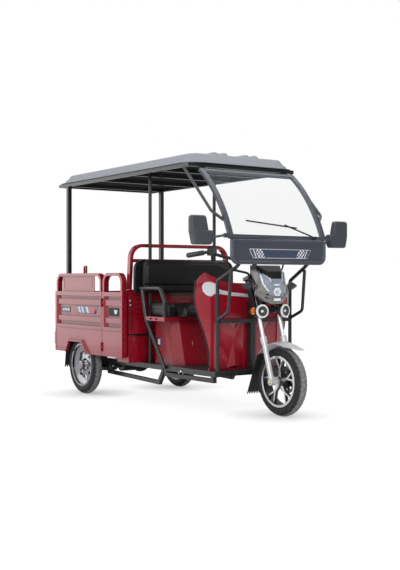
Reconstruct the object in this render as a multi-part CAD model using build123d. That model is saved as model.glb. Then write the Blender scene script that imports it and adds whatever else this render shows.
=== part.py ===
from build123d import *
import math
import os

# Electric cargo tricycle: one steered front wheel, a bench seat and a steel load bed over the
# rear axle, under a full-length roof.
# While it is modelled, x = 0 is the rear axle (+X forward), y = 0 the centre plane (+Y left) and
# z = 0 the ground. On export everything moves along X, so that the origin lies at the middle of
# the overall length. All sizes are in millimetres.

# ---------------------------------------------------------------- driving dimensions
wheelbase = 1888            # the front end's places are given as distances behind the front axle
track = 880
skin_gap = 0.3              # between pieces that seat on each other
moving_gap = 7              # between a moving piece and what it passes

# wheels
tyre_radius = 227.5
tyre_width = 84
bead_radius = 158
rim_lip_radius = 168
rim_width = 76
rim_wall = 5
front_hub_radius = 33
front_hub_width = 96
front_spokes = 5
front_pin_radius = 8
disc_radius = 82
disc_thickness = 4
rear_disc_windows = 8
rear_hub_radius = 46
stub_radius = 12
pin_play = 0.3

# load bed
bed_rear = -411
bed_front = 671
bed_half_width = 500
panel_thickness = 42
skirt_bottom = 320
floor_top = 515
floor_thickness = 22
side_top = 800
loop_top = 943
loop_bar = 22
loop_radius = 75
sheet = 4
door_length = 296
door_seam = 6
hinge_radius = 6
hinge_pin = 3
hinge_leaf = 3
hinge_reach = 26
hinge_half = 32
hinge_middle = 10
hinge_low = 389
hinge_high = 721
gate_hinge_y = 300
arch_foot_rear = -195
arch_foot_front = 151
arch_top_rear = -142
arch_top_front = 69
arch_top = 408
flare_depth = 20
recess_depth = 20
recess_slope = 40
groove_depth = 3
staple_x = 69
staple_width = 38
staple_height = 58
staple_bar = 8
tailgate_thickness = 30
front_wall_face = 690
front_wall_thickness = 32
front_wall_top = 820
lower_box_top = 487
hoop_top = 1155
hoop_bar = 25
hoop_depth = 38
hoop_lean = 16
hoop_radius = 95
hoop_rail_height = 1020

# chassis
rail_outer = 340
rail_size = 36
rail_top = 285
rail_front = wheelbase - 276
rear_rail_top = 440
kick_start = 110
kick_end = -30
lower_rail_size = 28
lower_rail_front = wheelbase - 303
lower_rail_rear = 985
lower_rail_top = 236
step_front = 915
step_rear = 165
step_top_front = 170
step_top_rear = 195
floor_plate = 5
floor_rear = 800
centre_post_x = wheelbase - 328
centre_post_size = 40
cross_bar_height = 617
guard_tube = 25
guard_x = wheelbase - 292
guard_y = 310
guard_bend_height = 883
guard_top_x = wheelbase - 116
guard_top_y = 288
guard_top_height = 972
loop_guard_tube = 22
loop_guard_low = 628
loop_guard_elbow_x = wheelbase - 166
loop_guard_elbow_height = 680
loop_guard_top_x = wheelbase - 136

# steering
rake = 17.8
leg_spacing = 170
leg_offset = 45
upper_leg_diameter = 25
lower_leg_diameter = 35
collar_diameter = 44
collar_rise = 54.3          # from the fender's lug up to the collar's top
lower_clamp_height = 690
upper_clamp_height = 905
head_tube_diameter = 50
head_tube_low = 722
head_tube_high = 865
handlebar_tube = 22
grip_tube = 34
steering_range = 35
lamp_height = 685
lamp_radius = 45
lamp_depth = 34
lamp_offset = 34
lamp_plate_half = 40
cover_thickness = 12
reflector_radius = 25
signal_root = 150
signal_height = 850
signal_back = 77.5
yoke_length = 89
yoke_overhang = 22
cover_gap = 24
case_low = 1052
stem_top = 1010
stem_radius = 16
loom_radius = 8
hose_radius = 6
lamp_face_z = 812
lamp_reach = 137
lens_thickness = 4
lamp_corners = {            # the headlamp's corners, from the middle of its face
    "lens_top": (-63, 112, 125), "lens_mid": (-38, 106, 53), "lens_low": (-6, 74, -2), "nose": (0, 44, -28),
    "trim": (-6, 45, 85), "chin": (-3, 42, -60), "bottom": (-10, 40, -80), "cheek_tip": (-48, 142, -17),
    "cheek_top": (-45, 137, 8), "cheek_low": (-35, 85, -61), "notch": (-53, 118, 28), "edge": (-131, 97, 77),
    "ear_low": (-142, 114, 122), "ear": (-142, 117, 144), "brow": (-98, 110, 150),
}
lamp_turn = 12
fender_gap = 34.5
fender_half_width = 60
fender_thickness = 4
fender_crown = 14
fender_rear = 137
fender_front = 75
fender_tip = 142
flap_thickness = 4
flap_half_width = 60
flap_teeth = 6
flap_tooth = 22
flap_drop = 104.5
flap_back = 75.5

# leg shield
shield_wall = 6
shield_crown = 8
shield_crease = 250
shield_sweep = 24
shield_foot = 311
shield_widest = 399
shield_tip = 318

# seat
base_half_width = 300
base_rear = 812
base_front_top = 1045
base_front_low = 1105
base_top = 602
base_wall = 5
base_cut_low = 62
base_cut_top = 44
shelf_wall = 3
shelf_half_width = 388
shelf_front = 1080
ear_half_width = 420
ear_rear = 874
ear_front = 1116
shelf_thickness = 28
cushion_half_width = 380
cushion_rear = 818
cushion_front = 1205
cushion_top_rear = 745
cushion_top_front = 722
backrest_face = 812
backrest_half_width = 388
backrest_bottom = 803
backrest_top = 1036
backboard_face = 758
backboard_half_width = 440
armrest_tube = 28
armrest_y = 404
armrest_height = 832

# roof and windscreen
roof_rear = -469
roof_front = wheelbase - 386
roof_overhang = 26
roof_edge = 1672
roof_top = 1744
roof_shell_thickness = 5
roof_lip = 14
roof_corner = 130
roof_step = 8
roof_step_height = 28
ridge_radius = 30
ridge_height = 24
roof_frame_bar = 25
rear_post = 32
post_notch = 15
rear_post_x = -281
mid_post = 25
mid_post_x = 718
mid_post_y = 289
screen_foot_x = wheelbase - 36
screen_foot_height = 1155
screen_top_x = wheelbase - 373
screen_top_height = 1622
screen_mid_x = wheelbase - 160
screen_mid_height = 1398
screen_frame_width = 36
screen_frame_depth = 20
screen_half_width = 388
screen_thickness = 4
cowl_half_width = 392
cowl_bottom = 990
cowl_top = 1151
cowl_face = wheelbase - 8
cowl_depth = 34
cowl_wall = 6
cowl_corner = 56
cowl_lip = 9
cowl_sink = 7
brace_tube = 20
brace_top_x = wheelbase - 463
brace_top_height = 1650
brace_elbow_x = wheelbase - 146
brace_elbow_height = 1333
brace_foot_x = wheelbase - 98
brace_foot_height = 1272
mirror_x = wheelbase - 98
mirror_outer = 657
mirror_low = 1112
mirror_split = 1204
mirror_high = 1297
mirror_depth = 52
mirror_round = 14

# ---------------------------------------------------------------- derived places
half_track = track / 2
mid_x = (roof_rear + wheelbase + tyre_radius) / 2
panel_inner = bed_half_width - panel_thickness
inner_half = panel_inner - moving_gap
door_rear = bed_front - door_length
hinge_x = door_rear - door_seam / 2
wall_rear = front_wall_face - front_wall_thickness
rail_y = rail_outer - rail_size / 2
on_rail = rail_top + skin_gap
hinge_y = bed_half_width + hinge_radius + 0.5
gate_hinge_x = bed_rear - hinge_radius - 0.5
gate_hinge_z = floor_top - hinge_leaf
axle_height = tyre_radius
rake_slope = math.tan(math.radians(rake))
leg_y = leg_spacing / 2
rear_post_y = panel_inner - rear_post / 2 - skin_gap
roof_half_width = rear_post_y + roof_overhang
fender_radius = tyre_radius + fender_gap
lug_reach = fender_radius - fender_crown - fender_thickness / 2
lug_height = axle_height + lug_reach * math.cos(math.radians(rake))
collar_height = lug_height + collar_rise
brace_y = rear_post_y + roof_frame_bar / 2 + brace_tube / 2 + skin_gap


def leg_x(z):
    """Where the fork legs' centre line is at height z: it runs through the front axle."""
    return wheelbase - (z - axle_height) * rake_slope


def around_front(radius, angle):
    """The point on the centre plane at a radius and an angle around the front axle."""
    turn = math.radians(angle)
    return Vector(wheelbase + radius * math.cos(turn), 0, axle_height + radius * math.sin(turn))


def stem_x(z):
    """Where the steering axis is at height z, behind the legs."""
    return leg_x(z) - leg_offset / math.cos(math.radians(rake))


lamp_face_x = leg_x(lamp_face_z) + lamp_reach


# ---------------------------------------------------------------- small builders
def block(x0, x1, y0, y1, z0, z1):
    """A box between two corners."""
    return Pos((x0 + x1) / 2, (y0 + y1) / 2, (z0 + z1) / 2) * Box(x1 - x0, y1 - y0, z1 - z0)


def rod(start, end, radius):
    """A round bar between two points."""
    start, end = Vector(*start), Vector(*end)
    run = end - start
    return Plane(origin=start, z_dir=run) * Cylinder(
        radius, run.length, align=(Align.CENTER, Align.CENTER, Align.MIN))


def bent_tube(points, radius, bend):
    """A round tube along straight runs joined by arcs."""
    path = FilletPolyline(*[Vector(*point) for point in points], radius=bend)
    section = Plane(origin=path @ 0, z_dir=path % 0) * Circle(radius)
    return sweep(section, path=path)


def beam(start, end, width, height, roll=(0, 0, 1)):
    """A rectangular bar between two points: height is measured along roll."""
    start, end = Vector(*start), Vector(*end)
    run = end - start
    side = Vector(*roll).cross(run)
    plane = Plane(origin=start, x_dir=side, z_dir=run)
    return extrude(plane * Rectangle(width, height), run.length)


def both_sides(shape):
    """The shape and its mirror image across the centre plane."""
    return [shape, mirror(shape, about=Plane.XZ)]


def slab_xz(points, y0, y1):
    """A flat outline in the XZ plane, extruded from y0 to y1."""
    outline = make_face(Polyline(*[(x, y0, z) for x, z in points], close=True))
    return extrude(outline, amount=y1 - y0, dir=(0, 1, 0))


def slab_yz(points, x0, x1):
    """A flat outline in the YZ plane, extruded from x0 to x1."""
    outline = make_face(Polyline(*[(x0, y, z) for y, z in points], close=True))
    return extrude(outline, amount=x1 - x0, dir=(1, 0, 0))


def convex(points):
    """The convex solid whose corners are the given points."""
    corners = [Vector(*point) for point in points]
    facets = {}
    for i, a in enumerate(corners):
        for j in range(i + 1, len(corners)):
            for c in corners[j + 1:]:
                normal = (corners[j] - a).cross(c - a)
                if normal.length < 1e-6:
                    continue
                normal = normal.normalized()
                heights = [normal.dot(corner - a) for corner in corners]
                if max(heights) > 1e-4 and min(heights) < -1e-4:
                    continue
                flat = [k for k, height in enumerate(heights) if abs(height) <= 1e-4]
                facets.setdefault(tuple(flat), normal if max(heights) <= 1e-4 else -normal)
    skins = []
    for flat, normal in facets.items():
        ring = [corners[k] for k in flat]
        middle = sum(ring, Vector(0, 0, 0)) * (1 / len(ring))
        across = (ring[0] - middle).normalized()
        up = normal.cross(across)
        ring.sort(key=lambda corner: math.atan2(up.dot(corner - middle), across.dot(corner - middle)))
        skins.append(make_face(Polyline(*ring, close=True)))
    return Solid(Shell(skins))


def tilted(shape):
    """Turns a shape modelled upright at the origin onto the raked steering line."""
    return Rot(0, -rake, 0) * shape


# ---------------------------------------------------------------- wheels
def tyre():
    """Tyre on the local Z axis, with a rounded tread and its beads between the rim's lips."""
    bead = rim_width / 2 - rim_wall - skin_gap
    half = tyre_width / 2
    clear = rim_lip_radius + 3
    side = (clear + tyre_radius) / 2
    shoulder = tyre_radius - 17
    section = Wire([
        Edge.make_line((bead_radius + skin_gap, 0, -bead), (bead_radius + skin_gap, 0, bead)),
        Edge.make_line((bead_radius + skin_gap, 0, bead), (clear, 0, bead)),
        Edge.make_three_point_arc((clear, 0, bead), (side - 6, 0, half), (shoulder, 0, half - 8)),
        Edge.make_three_point_arc((shoulder, 0, half - 8), (tyre_radius, 0, 0), (shoulder, 0, 8 - half)),
        Edge.make_three_point_arc((shoulder, 0, 8 - half), (side - 6, 0, -half), (clear, 0, -bead)),
        Edge.make_line((clear, 0, -bead), (bead_radius + skin_gap, 0, -bead)),
    ])
    return revolve(Face(section), Axis.Z)


def rim_barrel():
    """The rim's barrel with a lip at each edge."""
    half = rim_width / 2
    points = [
        (bead_radius - rim_wall, -half), (rim_lip_radius, -half), (rim_lip_radius, rim_wall - half),
        (bead_radius, rim_wall - half), (bead_radius, half - rim_wall), (rim_lip_radius, half - rim_wall),
        (rim_lip_radius, half), (bead_radius - rim_wall, half),
    ]
    return revolve(make_face(Polyline(*[(r, 0, z) for r, z in points], close=True)), Axis.Z)


def front_rim():
    """Cast front wheel: forked spokes from a drilled hub to the barrel, and the brake disc."""
    reach = bead_radius - rim_wall + 2
    fork_start = 84
    spoke_points = [(0, -17), (fork_start, -7), (fork_start, 7), (0, 17)]
    stem = make_face(Polyline(*spoke_points, close=True))
    spread = math.radians(13)
    arms = []
    for side in (-1, 1):
        tip = Vector(reach * math.cos(spread), side * reach * math.sin(spread))
        arms.append(make_hull(
            (Pos(fork_start, side * 2) * Circle(5.5)).edges() + (Pos(tip.X, tip.Y) * Circle(5.5)).edges()))
    spoke = stem + arms
    star = Sketch() + [Rot(0, 0, 90 + 360 / front_spokes * i) * spoke for i in range(front_spokes)]
    spokes = Pos(0, 0, -2) * extrude(star, 24)
    spokes &= Cylinder(reach, rim_width)
    hub = Cylinder(front_hub_radius, front_hub_width)
    disc_z = -front_hub_width / 2 + 10
    disc = Pos(0, 0, disc_z) * Cylinder(disc_radius, disc_thickness)
    disc -= [Rot(0, 0, 45 * i) * Pos(57, 0, disc_z) * Cylinder(10, 2 * disc_thickness) for i in range(8)]
    return rim_barrel() + spokes + hub + disc - Cylinder(front_pin_radius + pin_play, 2 * front_hub_width)


def rear_rim():
    """Deep-dished rear wheel: a windowed disc, a domed hub cap, and a bore for the stub axle."""
    inner = bead_radius - rim_wall
    profile = [
        (stub_radius + pin_play, -2), (rear_hub_radius, -2), (112, -8),
        (inner + 1, 14), (inner + 1, 20), (112, -1), (rear_hub_radius + 4, 6),
        (rear_hub_radius - 8, 24), (stub_radius + pin_play, 24),
    ]
    disc = revolve(make_face(Polyline(*[(r, 0, z) for r, z in profile], close=True)), Axis.Z)
    window = Pos(98, 0, 0) * SlotOverall(44, 28)
    windows = Sketch() + [Rot(0, 0, 360 / rear_disc_windows * i) * window for i in range(rear_disc_windows)]
    disc -= Pos(0, 0, -40) * extrude(windows, 90)
    cap = Pos(0, 0, 24) * extrude(Circle(rear_hub_radius - 10), 26, taper=8)
    cap = fillet(cap.edges().sort_by(Axis.Z)[-1], 9)
    bore = Pos(0, 0, -30) * Cylinder(
        stub_radius + pin_play, 62, align=(Align.CENTER, Align.CENTER, Align.MIN))
    return rim_barrel() + disc + cap - bore


def on_axle(shape, x, y, side):
    """Places a wheel piece: local Z turns to the vehicle's side (1 left, -1 right)."""
    return Pos(x, y, axle_height) * Rot(-90 * side, 0, 0) * shape


# ---------------------------------------------------------------- load bed
def side_loop(x0, x1):
    """The rail bent from flat bar that stands on a side panel between two places."""
    outer = Pos((x0 + x1) / 2, side_top) * Rectangle(
        x1 - x0, loop_top - side_top, align=(Align.CENTER, Align.MIN))
    inner = Pos((x0 + x1) / 2, side_top) * Rectangle(
        x1 - x0 - 2 * loop_bar, loop_top - side_top - loop_bar, align=(Align.CENTER, Align.MIN))
    outer = fillet(outer.vertices().group_by(Axis.Y)[-1], loop_radius)
    inner = fillet(inner.vertices().group_by(Axis.Y)[-1], loop_radius - loop_bar)
    return extrude(Plane.XZ.offset(panel_inner) * (outer - inner), panel_thickness)


def panel_relief(x0, x1):
    """The pressed recess on a panel's outer face, with a sloped rear wall and two raised slats."""
    outer = -bed_half_width
    low, high = 539, 768
    plan = [(x0, outer - 1), (x0, outer), (x0 + recess_slope, outer + recess_depth),
            (x1 - 6, outer + recess_depth), (x1, outer), (x1, outer - 1)]
    recess = extrude(Pos(0, 0, low) * make_face(Polyline(*plan, close=True)), high - low)
    for slat_low, slat_high in ((571, 608), (700, 741)):
        recess -= block(x0 + recess_slope * 0.8, x1, outer + 2, outer + recess_depth + 1, slat_low, slat_high)
    return recess


def side_hinges(reach, spans):
    """Leaves and knuckles of both hinges on the right side, over spans about each one's middle."""
    parts = []
    for middle in (hinge_low, hinge_high):
        for low, high in spans:
            parts.append(block(min(hinge_x, hinge_x + reach), max(hinge_x, hinge_x + reach),
                               -bed_half_width - hinge_leaf, -bed_half_width, middle + low, middle + high))
            parts.append(rod((hinge_x, -hinge_y, middle + low),
                             (hinge_x, -hinge_y, middle + high), hinge_radius))
    return parts


def hinge_pins(radius):
    """The upright pins through both hinges on the right side."""
    return [rod((hinge_x, -hinge_y, middle - hinge_half), (hinge_x, -hinge_y, middle + hinge_half), radius)
            for middle in (hinge_low, hinge_high)]


def gate_hinges(leaf, spans):
    """Leaves and knuckles of both tailgate hinges, over spans about each one's middle."""
    parts = []
    for middle in (-gate_hinge_y, gate_hinge_y):
        for low, high in spans:
            parts.append(Pos(0, middle, 0) * leaf(low, high))
            parts.append(rod((gate_hinge_x, middle + low, gate_hinge_z),
                             (gate_hinge_x, middle + high, gate_hinge_z), hinge_radius))
    return parts


def gate_pins(radius):
    """The level pins through both tailgate hinges."""
    return [rod((gate_hinge_x, middle - hinge_half, gate_hinge_z),
                (gate_hinge_x, middle + hinge_half, gate_hinge_z), radius)
            for middle in (-gate_hinge_y, gate_hinge_y)]


def bed_side():
    """Right rear side: panel, skirt with the wheel's arch, top loop and its infill plate."""
    outer, inner = -bed_half_width, -panel_inner
    front = door_rear - door_seam
    panel = block(bed_rear, front, outer, inner, floor_top, side_top)
    panel += block(bed_rear, front, outer, outer + sheet, skirt_bottom, floor_top)
    panel += block(bed_rear, bed_rear + sheet, outer, inner, skirt_bottom, floor_top)
    panel += block(front - sheet, front, outer, inner, skirt_bottom, floor_top)
    arch = [(arch_foot_rear, skirt_bottom - 1), (arch_top_rear, arch_top),
            (arch_top_front, arch_top), (arch_foot_front, skirt_bottom - 1)]
    wide = [(arch_foot_rear - 22, skirt_bottom), (arch_top_rear - 16, arch_top + 24),
            (arch_top_front + 16, arch_top + 24), (arch_foot_front + 22, skirt_bottom)]
    narrow = [(arch_foot_rear - 8, skirt_bottom), (arch_top_rear - 5, arch_top + 8),
              (arch_top_front + 5, arch_top + 8), (arch_foot_front + 8, skirt_bottom)]
    flare = loft([
        make_face(Polyline(*[(x, outer + 1, z) for x, z in wide], close=True)),
        make_face(Polyline(*[(x, outer - flare_depth, z) for x, z in narrow], close=True))])
    panel += flare
    panel -= slab_xz(arch, outer - 2 * flare_depth, outer + 2 * sheet)
    panel -= panel_relief(bed_rear + 28, front - 14)
    panel -= block(bed_rear - 1, front + 1, outer - 1, outer + groove_depth, floor_top - 7, floor_top)
    panel -= block(bed_rear + 20, bed_rear + 27, outer - 1, outer + groove_depth - 1,
                   skirt_bottom + 16, floor_top - 22)
    loop = side_loop(bed_rear + 24, front - 12)
    plate = block(-301, 230, outer + 14, outer + 18, side_top, loop_top - loop_bar)
    plate -= [block(x - 8, x + 8, outer + 13, outer + 15.5, side_top + 28, loop_top - 40)
              for x in (-266, 196)]
    low, high = staple_x - staple_width / 2, staple_x + staple_width / 2
    staple = block(low, high, outer + 14, outer + 28, loop_top, loop_top + staple_height)
    staple -= block(low + staple_bar, high - staple_bar, outer + 13, outer + 29,
                    loop_top - 1, loop_top + staple_height - staple_bar)
    wire_y, wire_x = outer + 24, bed_rear - 16
    latch = bent_tube([(bed_rear + 8, wire_y, side_top - 160), (wire_x, wire_y, side_top - 156),
                       (wire_x, wire_y, side_top - 64), (bed_rear + 8, wire_y, side_top - 60)], 3, 8)
    ends = hinge_middle + skin_gap
    hinges = side_hinges(-hinge_reach, ((-hinge_half, -ends), (ends, hinge_half))) + hinge_pins(hinge_pin)
    return panel + loop + plate + staple + latch + hinges


def side_door():
    """Right side door: panel, skirt and top loop, hinged at its rear edge."""
    outer, inner = -bed_half_width, -panel_inner
    door = block(door_rear, bed_front, outer, inner, floor_top, side_top)
    door += block(door_rear, bed_front, outer, outer + sheet, skirt_bottom, floor_top)
    door += block(door_rear, door_rear + sheet, outer, inner, skirt_bottom, floor_top)
    door += block(bed_front - sheet, bed_front, outer, inner, skirt_bottom, floor_top)
    door -= panel_relief(door_rear + 22, bed_front - 12)
    door -= block(door_rear - 1, bed_front + 1, outer - 1, outer + groove_depth, floor_top - 7, floor_top)
    hinges = side_hinges(hinge_reach, ((-hinge_middle, hinge_middle),))
    return door + side_loop(door_rear + 6, bed_front - 2) + hinges - hinge_pins(hinge_pin + pin_play)


def bed_floor():
    """Ribbed steel floor of the bed between the side panels, on two long bearers."""
    top = floor_top
    floor = block(bed_rear + 6, wall_rear - skin_gap, -inner_half, inner_half, top - floor_thickness, top)
    floor -= [block(bed_rear + 30, wall_rear - 30, y - 14, y + 14, top - 5, top + 1)
              for y in range(-360, 361, 90)]
    sides = both_sides(block(bed_rear, door_rear - door_seam, -panel_inner, -inner_half,
                             top - floor_thickness, top))

    def leaf(low, high):
        return block(gate_hinge_x, bed_rear + 7, low, high, gate_hinge_z - hinge_leaf - 3, gate_hinge_z - 3)

    ends = hinge_middle + skin_gap
    hinges = gate_hinges(leaf, ((-hinge_half, -ends), (ends, hinge_half))) + gate_pins(hinge_pin)
    notch = rear_post / 2 + skin_gap
    notches = both_sides(block(rear_post_x - notch, rear_post_x + notch, -panel_inner - 1,
                               -rear_post_y + notch, top - post_notch, top + 1))
    return floor + sides + hinges - notches


def front_wall():
    """The bed's ribbed front wall and the lower box under it."""
    wall = block(wall_rear, front_wall_face, -inner_half, inner_half, lower_box_top + 8, front_wall_top)
    wall += [block(front_wall_face - 1, front_wall_face + 6, -inner_half + 60, inner_half - 60, z - 9, z + 9)
             for z in range(620, 800, 36)]
    wall += block(wall_rear, front_wall_face - 12, -inner_half + 6, inner_half - 6,
                  lower_box_top - 1, lower_box_top + 9)
    box = block(bed_front - 150, bed_front + 12, -inner_half, inner_half, on_rail, lower_box_top)
    box -= block(bed_front - 146, bed_front + 8, -inner_half + 4, inner_half - 4,
                 on_rail - 1, lower_box_top - 4)
    return wall + box


def hoop():
    """Flat-bar hoop that leans in above the front wall, with its lower rail."""
    foot = inner_half - hoop_bar / 2 + 2
    low = front_wall_top + 0.8
    points = [(-foot, low), (-foot + hoop_lean, hoop_top - hoop_bar / 2),
              (foot - hoop_lean, hoop_top - hoop_bar / 2), (foot, low)]
    path = FilletPolyline(*[(wall_rear + hoop_depth / 2 - 4, y, z) for y, z in points], radius=hoop_radius)
    start = Plane(origin=path @ 0, x_dir=(1, 0, 0), z_dir=path % 0)
    bar = sweep(start * Rectangle(hoop_depth, hoop_bar), path=path)
    rail_half = foot - hoop_lean * (hoop_rail_height - front_wall_top) / (hoop_top - front_wall_top)
    rail = block(wall_rear + 2, wall_rear + 26, -rail_half, rail_half,
                 hoop_rail_height, hoop_rail_height + 24)
    return bar + rail


def tailgate():
    """Drop-down tailgate between the side panels, with pressed ribs."""
    half = inner_half
    low = floor_top + moving_gap
    gate = block(bed_rear, bed_rear + tailgate_thickness, -half, half, low, side_top)
    gate -= [block(bed_rear - 1, bed_rear + 10, -half + 40, half - 40, z - 22, z + 22)
             for z in (590, 660, 730)]

    def leaf(low, high):
        return block(bed_rear - hinge_leaf, bed_rear, low, high,
                     gate_hinge_z, gate_hinge_z + hinge_reach + 10)

    hinges = gate_hinges(leaf, ((-hinge_middle, hinge_middle),))
    return gate + hinges - gate_pins(hinge_pin + pin_play)


def tail_lamp():
    """Right tail lamp on the rear edge of the side panel's skirt."""
    x = bed_rear - skin_gap
    body = block(x - 26, x, -bed_half_width + 4, -panel_inner - 2, 372, 470)
    return fillet(body.edges().group_by(Axis.X)[0], 6)


# ---------------------------------------------------------------- chassis
def chassis():
    """Ladder chassis of square tube: floor rails, kicked-up rear rails, cross members, lower rails."""
    low_z = rail_top - rail_size / 2
    high_z = rear_rail_top - rail_size / 2
    parts = []
    for y in (-rail_y, rail_y):
        parts.append(block(kick_start, rail_front, y - rail_size / 2, y + rail_size / 2,
                           rail_top - rail_size, rail_top))
        parts.append(block(bed_rear + 20, kick_end, y - rail_size / 2, y + rail_size / 2,
                           rear_rail_top - rail_size, rear_rail_top))
        parts.append(slab_xz([
            (kick_start + rail_size, low_z - rail_size / 2), (kick_start, low_z + rail_size / 2),
            (kick_end, high_z + rail_size / 2), (kick_end - rail_size, high_z + rail_size / 2),
            (kick_end - rail_size, high_z - rail_size / 2),
            (kick_start - rail_size / 2, low_z - rail_size / 2),
        ], y - rail_size / 2, y + rail_size / 2))
        # uprights that carry the bed on the low rails
        parts += [block(x, x + 30, y - 15, y + 15, rail_top, floor_top - floor_thickness) for x in (330, 480)]
        parts += [block(x, x + 30, y - 15, y + 15, rear_rail_top, floor_top - floor_thickness)
                  for x in (-380, -90)]
        # lower rail with risers at both ends, and the long step bar behind it
        half = lower_rail_size / 2
        parts.append(block(lower_rail_rear, lower_rail_front, y - half, y + half,
                           lower_rail_top - lower_rail_size, lower_rail_top))
        parts += [block(x, x + lower_rail_size, y - half, y + half, lower_rail_top - 1, rail_top - rail_size)
                  for x in (lower_rail_rear, lower_rail_front - lower_rail_size)]
        parts.append(beam((step_rear, y, step_top_rear - half), (step_front, y, step_top_front - half),
                          lower_rail_size, lower_rail_size))
        parts.append(beam((step_front - 12, y, step_top_front - half),
                          (step_front + 50, y, rail_top - rail_size),
                          lower_rail_size, lower_rail_size, roll=(1, 0, 0)))
        parts.append(block(step_rear, step_rear + lower_rail_size, y - half, y + half,
                           step_top_rear - lower_rail_size, rail_top - rail_size))
    for x in (200, 560, mid_post_x - rail_size / 2):
        parts.append(block(x, x + rail_size, -rail_y, rail_y, rail_top - rail_size, rail_top))
    for x in (floor_rear, 1180, rail_front - rail_size - 22):
        parts.append(block(x, x + rail_size, -rail_y, rail_y, rail_top - rail_size, rail_top - floor_plate))
    for x in (-391, kick_end - rail_size):
        parts.append(block(x, x + rail_size, -rail_y, rail_y, rear_rail_top - rail_size, rear_rail_top))
    return Part() + parts


def steering_head():
    """Centre post, head tube with its gusset, and the cross bar between the front guards."""
    size = centre_post_size / 2
    head_low = (stem_x(head_tube_low), 0, head_tube_low)
    head_high = (stem_x(head_tube_high), 0, head_tube_high)
    post = block(centre_post_x - size, centre_post_x + size, -size, size, rail_top, 700)
    gusset = slab_xz([(centre_post_x - size, 560), (centre_post_x - size, 700),
                      (head_high[0] - 10, head_tube_high - 15), (head_low[0], head_tube_low + 10),
                      (centre_post_x + size, 600)], -size, size)
    head = rod(head_low, head_high, head_tube_diameter / 2)
    bore = rod((stem_x(600), 0, 600), (stem_x(1000), 0, 1000), stem_radius + skin_gap)
    reach = guard_y - guard_tube / 2 - skin_gap
    bar = beam((guard_x, -reach, cross_bar_height), (guard_x, reach, cross_bar_height), 24, 24)
    link = block(centre_post_x, guard_x, -size, size, cross_bar_height - 12, cross_bar_height + 12)
    return post + gusset + head + bar + link - bore


def guards():
    """Bent round tubes at each side, from the floor rail up to the cowl, with an outer loop."""
    end = cowl_face - cowl_depth - skin_gap
    end_height = cowl_bottom + guard_tube / 2 + 1
    foot = bent_tube([(guard_x, -guard_y, rail_top), (guard_x, -guard_y, guard_bend_height),
                      (guard_top_x, -guard_top_y, guard_top_height), (end - 30, -guard_top_y, end_height),
                      (end, -guard_top_y, end_height)], guard_tube / 2, 34)
    loop = bent_tube([(guard_x + 6, -guard_y, loop_guard_low),
                      (loop_guard_elbow_x, -guard_y - 4, loop_guard_elbow_height),
                      (loop_guard_top_x, -guard_y, guard_top_height - 14)], loop_guard_tube / 2, 40)
    return foot + loop


def rear_axle():
    """Live axle with its motor and gear case, brake drums and stub shafts."""
    drum_face = half_track - 8 - moving_gap
    parts = [
        rod((0, -drum_face + 30, axle_height), (0, drum_face - 30, axle_height), 24),
        Pos(0, 60, axle_height) * Sphere(82),
        rod((0, -120, axle_height), (0, 60, axle_height), 68),
    ]
    for side in (-1, 1):
        parts.append(rod((0, side * (drum_face - 36), axle_height), (0, side * drum_face, axle_height), 78))
        parts.append(rod((0, side * drum_face, axle_height),
                         (0, side * (half_track + 26), axle_height), stub_radius))
    return Part() + parts


def leaf_spring():
    """Right leaf spring: three leaves bent over the axle, with hangers at both ends."""
    y = -(rail_y - rail_size / 2 - 34)
    leaves = []
    for i, reach in enumerate((330, 250, 160)):
        drop = axle_height - 30 - 9 * i
        arc = ThreePointArc((-reach, 0, drop + 60 * (reach / 330) ** 2), (0, 0, drop),
                            (reach, 0, drop + 60 * (reach / 330) ** 2))
        start = Plane(origin=arc @ 0, x_dir=(0, 1, 0), z_dir=arc % 0)
        leaves.append(Pos(0, y, 0) * sweep(start * Rectangle(44, 9.5), path=arc))
    front = block(315, 345, y - 24, y + 24, 240, rail_top - 8)
    rear = block(-345, -315, y - 24, y + 24, 240, rear_rail_top - 10)
    front_tie = block(315, 345, rail_size / 2 - rail_y, y - 23, 262, rail_top - 10)
    back_tie = block(-345, -315, rail_size / 2 - rail_y, y - 23, rear_rail_top - 34, rear_rail_top - 10)
    saddle = block(-34, 34, y - 24, y + 24, axle_height - 44, axle_height - 24 - skin_gap)
    return Part() + leaves + [front, rear, saddle, front_tie, back_tie]


def flap(x_top, z_top, x_low, z_low, half_width, teeth):
    """A hanging rubber flap with a toothed lower edge, centred on y = 0."""
    lean = math.degrees(math.atan2(x_top - x_low, z_top - z_low))
    length = math.hypot(x_top - x_low, z_top - z_low)
    pitch = 2 * half_width / teeth
    outline = [(-half_width, 0)]
    for i in range(teeth):
        outline += [(-half_width + (i + 0.1) * pitch, -length), (-half_width + (i + 0.35) * pitch, -length),
                    (-half_width + (i + 0.7) * pitch, flap_tooth - length)]
    outline += [(half_width, -length), (half_width, 0)]
    sheet_face = make_face(Polyline(*[(0, y, z) for y, z in outline], close=True))
    return Pos(x_top, 0, z_top) * Rot(0, lean, 0) * extrude(sheet_face, flap_thickness, dir=(1, 0, 0))


def front_flap():
    """Flap that hangs from the rear end of the front fender."""
    top = around_front(fender_radius - 10, fender_rear)
    hung = flap(top.X, top.Z, wheelbase - tyre_radius - flap_back, axle_height - flap_drop,
                flap_half_width, flap_teeth)
    return (hung - fender()).solids().sort_by(SortBy.VOLUME)[-1]


def rear_flap():
    """Flap behind the right rear wheel, hung under the bed's floor."""
    hung = flap(5 - tyre_radius, floor_top - floor_thickness - skin_gap, -40 - tyre_radius, 190, 50, 5)
    return Pos(0, -half_track, 0) * hung


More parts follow.
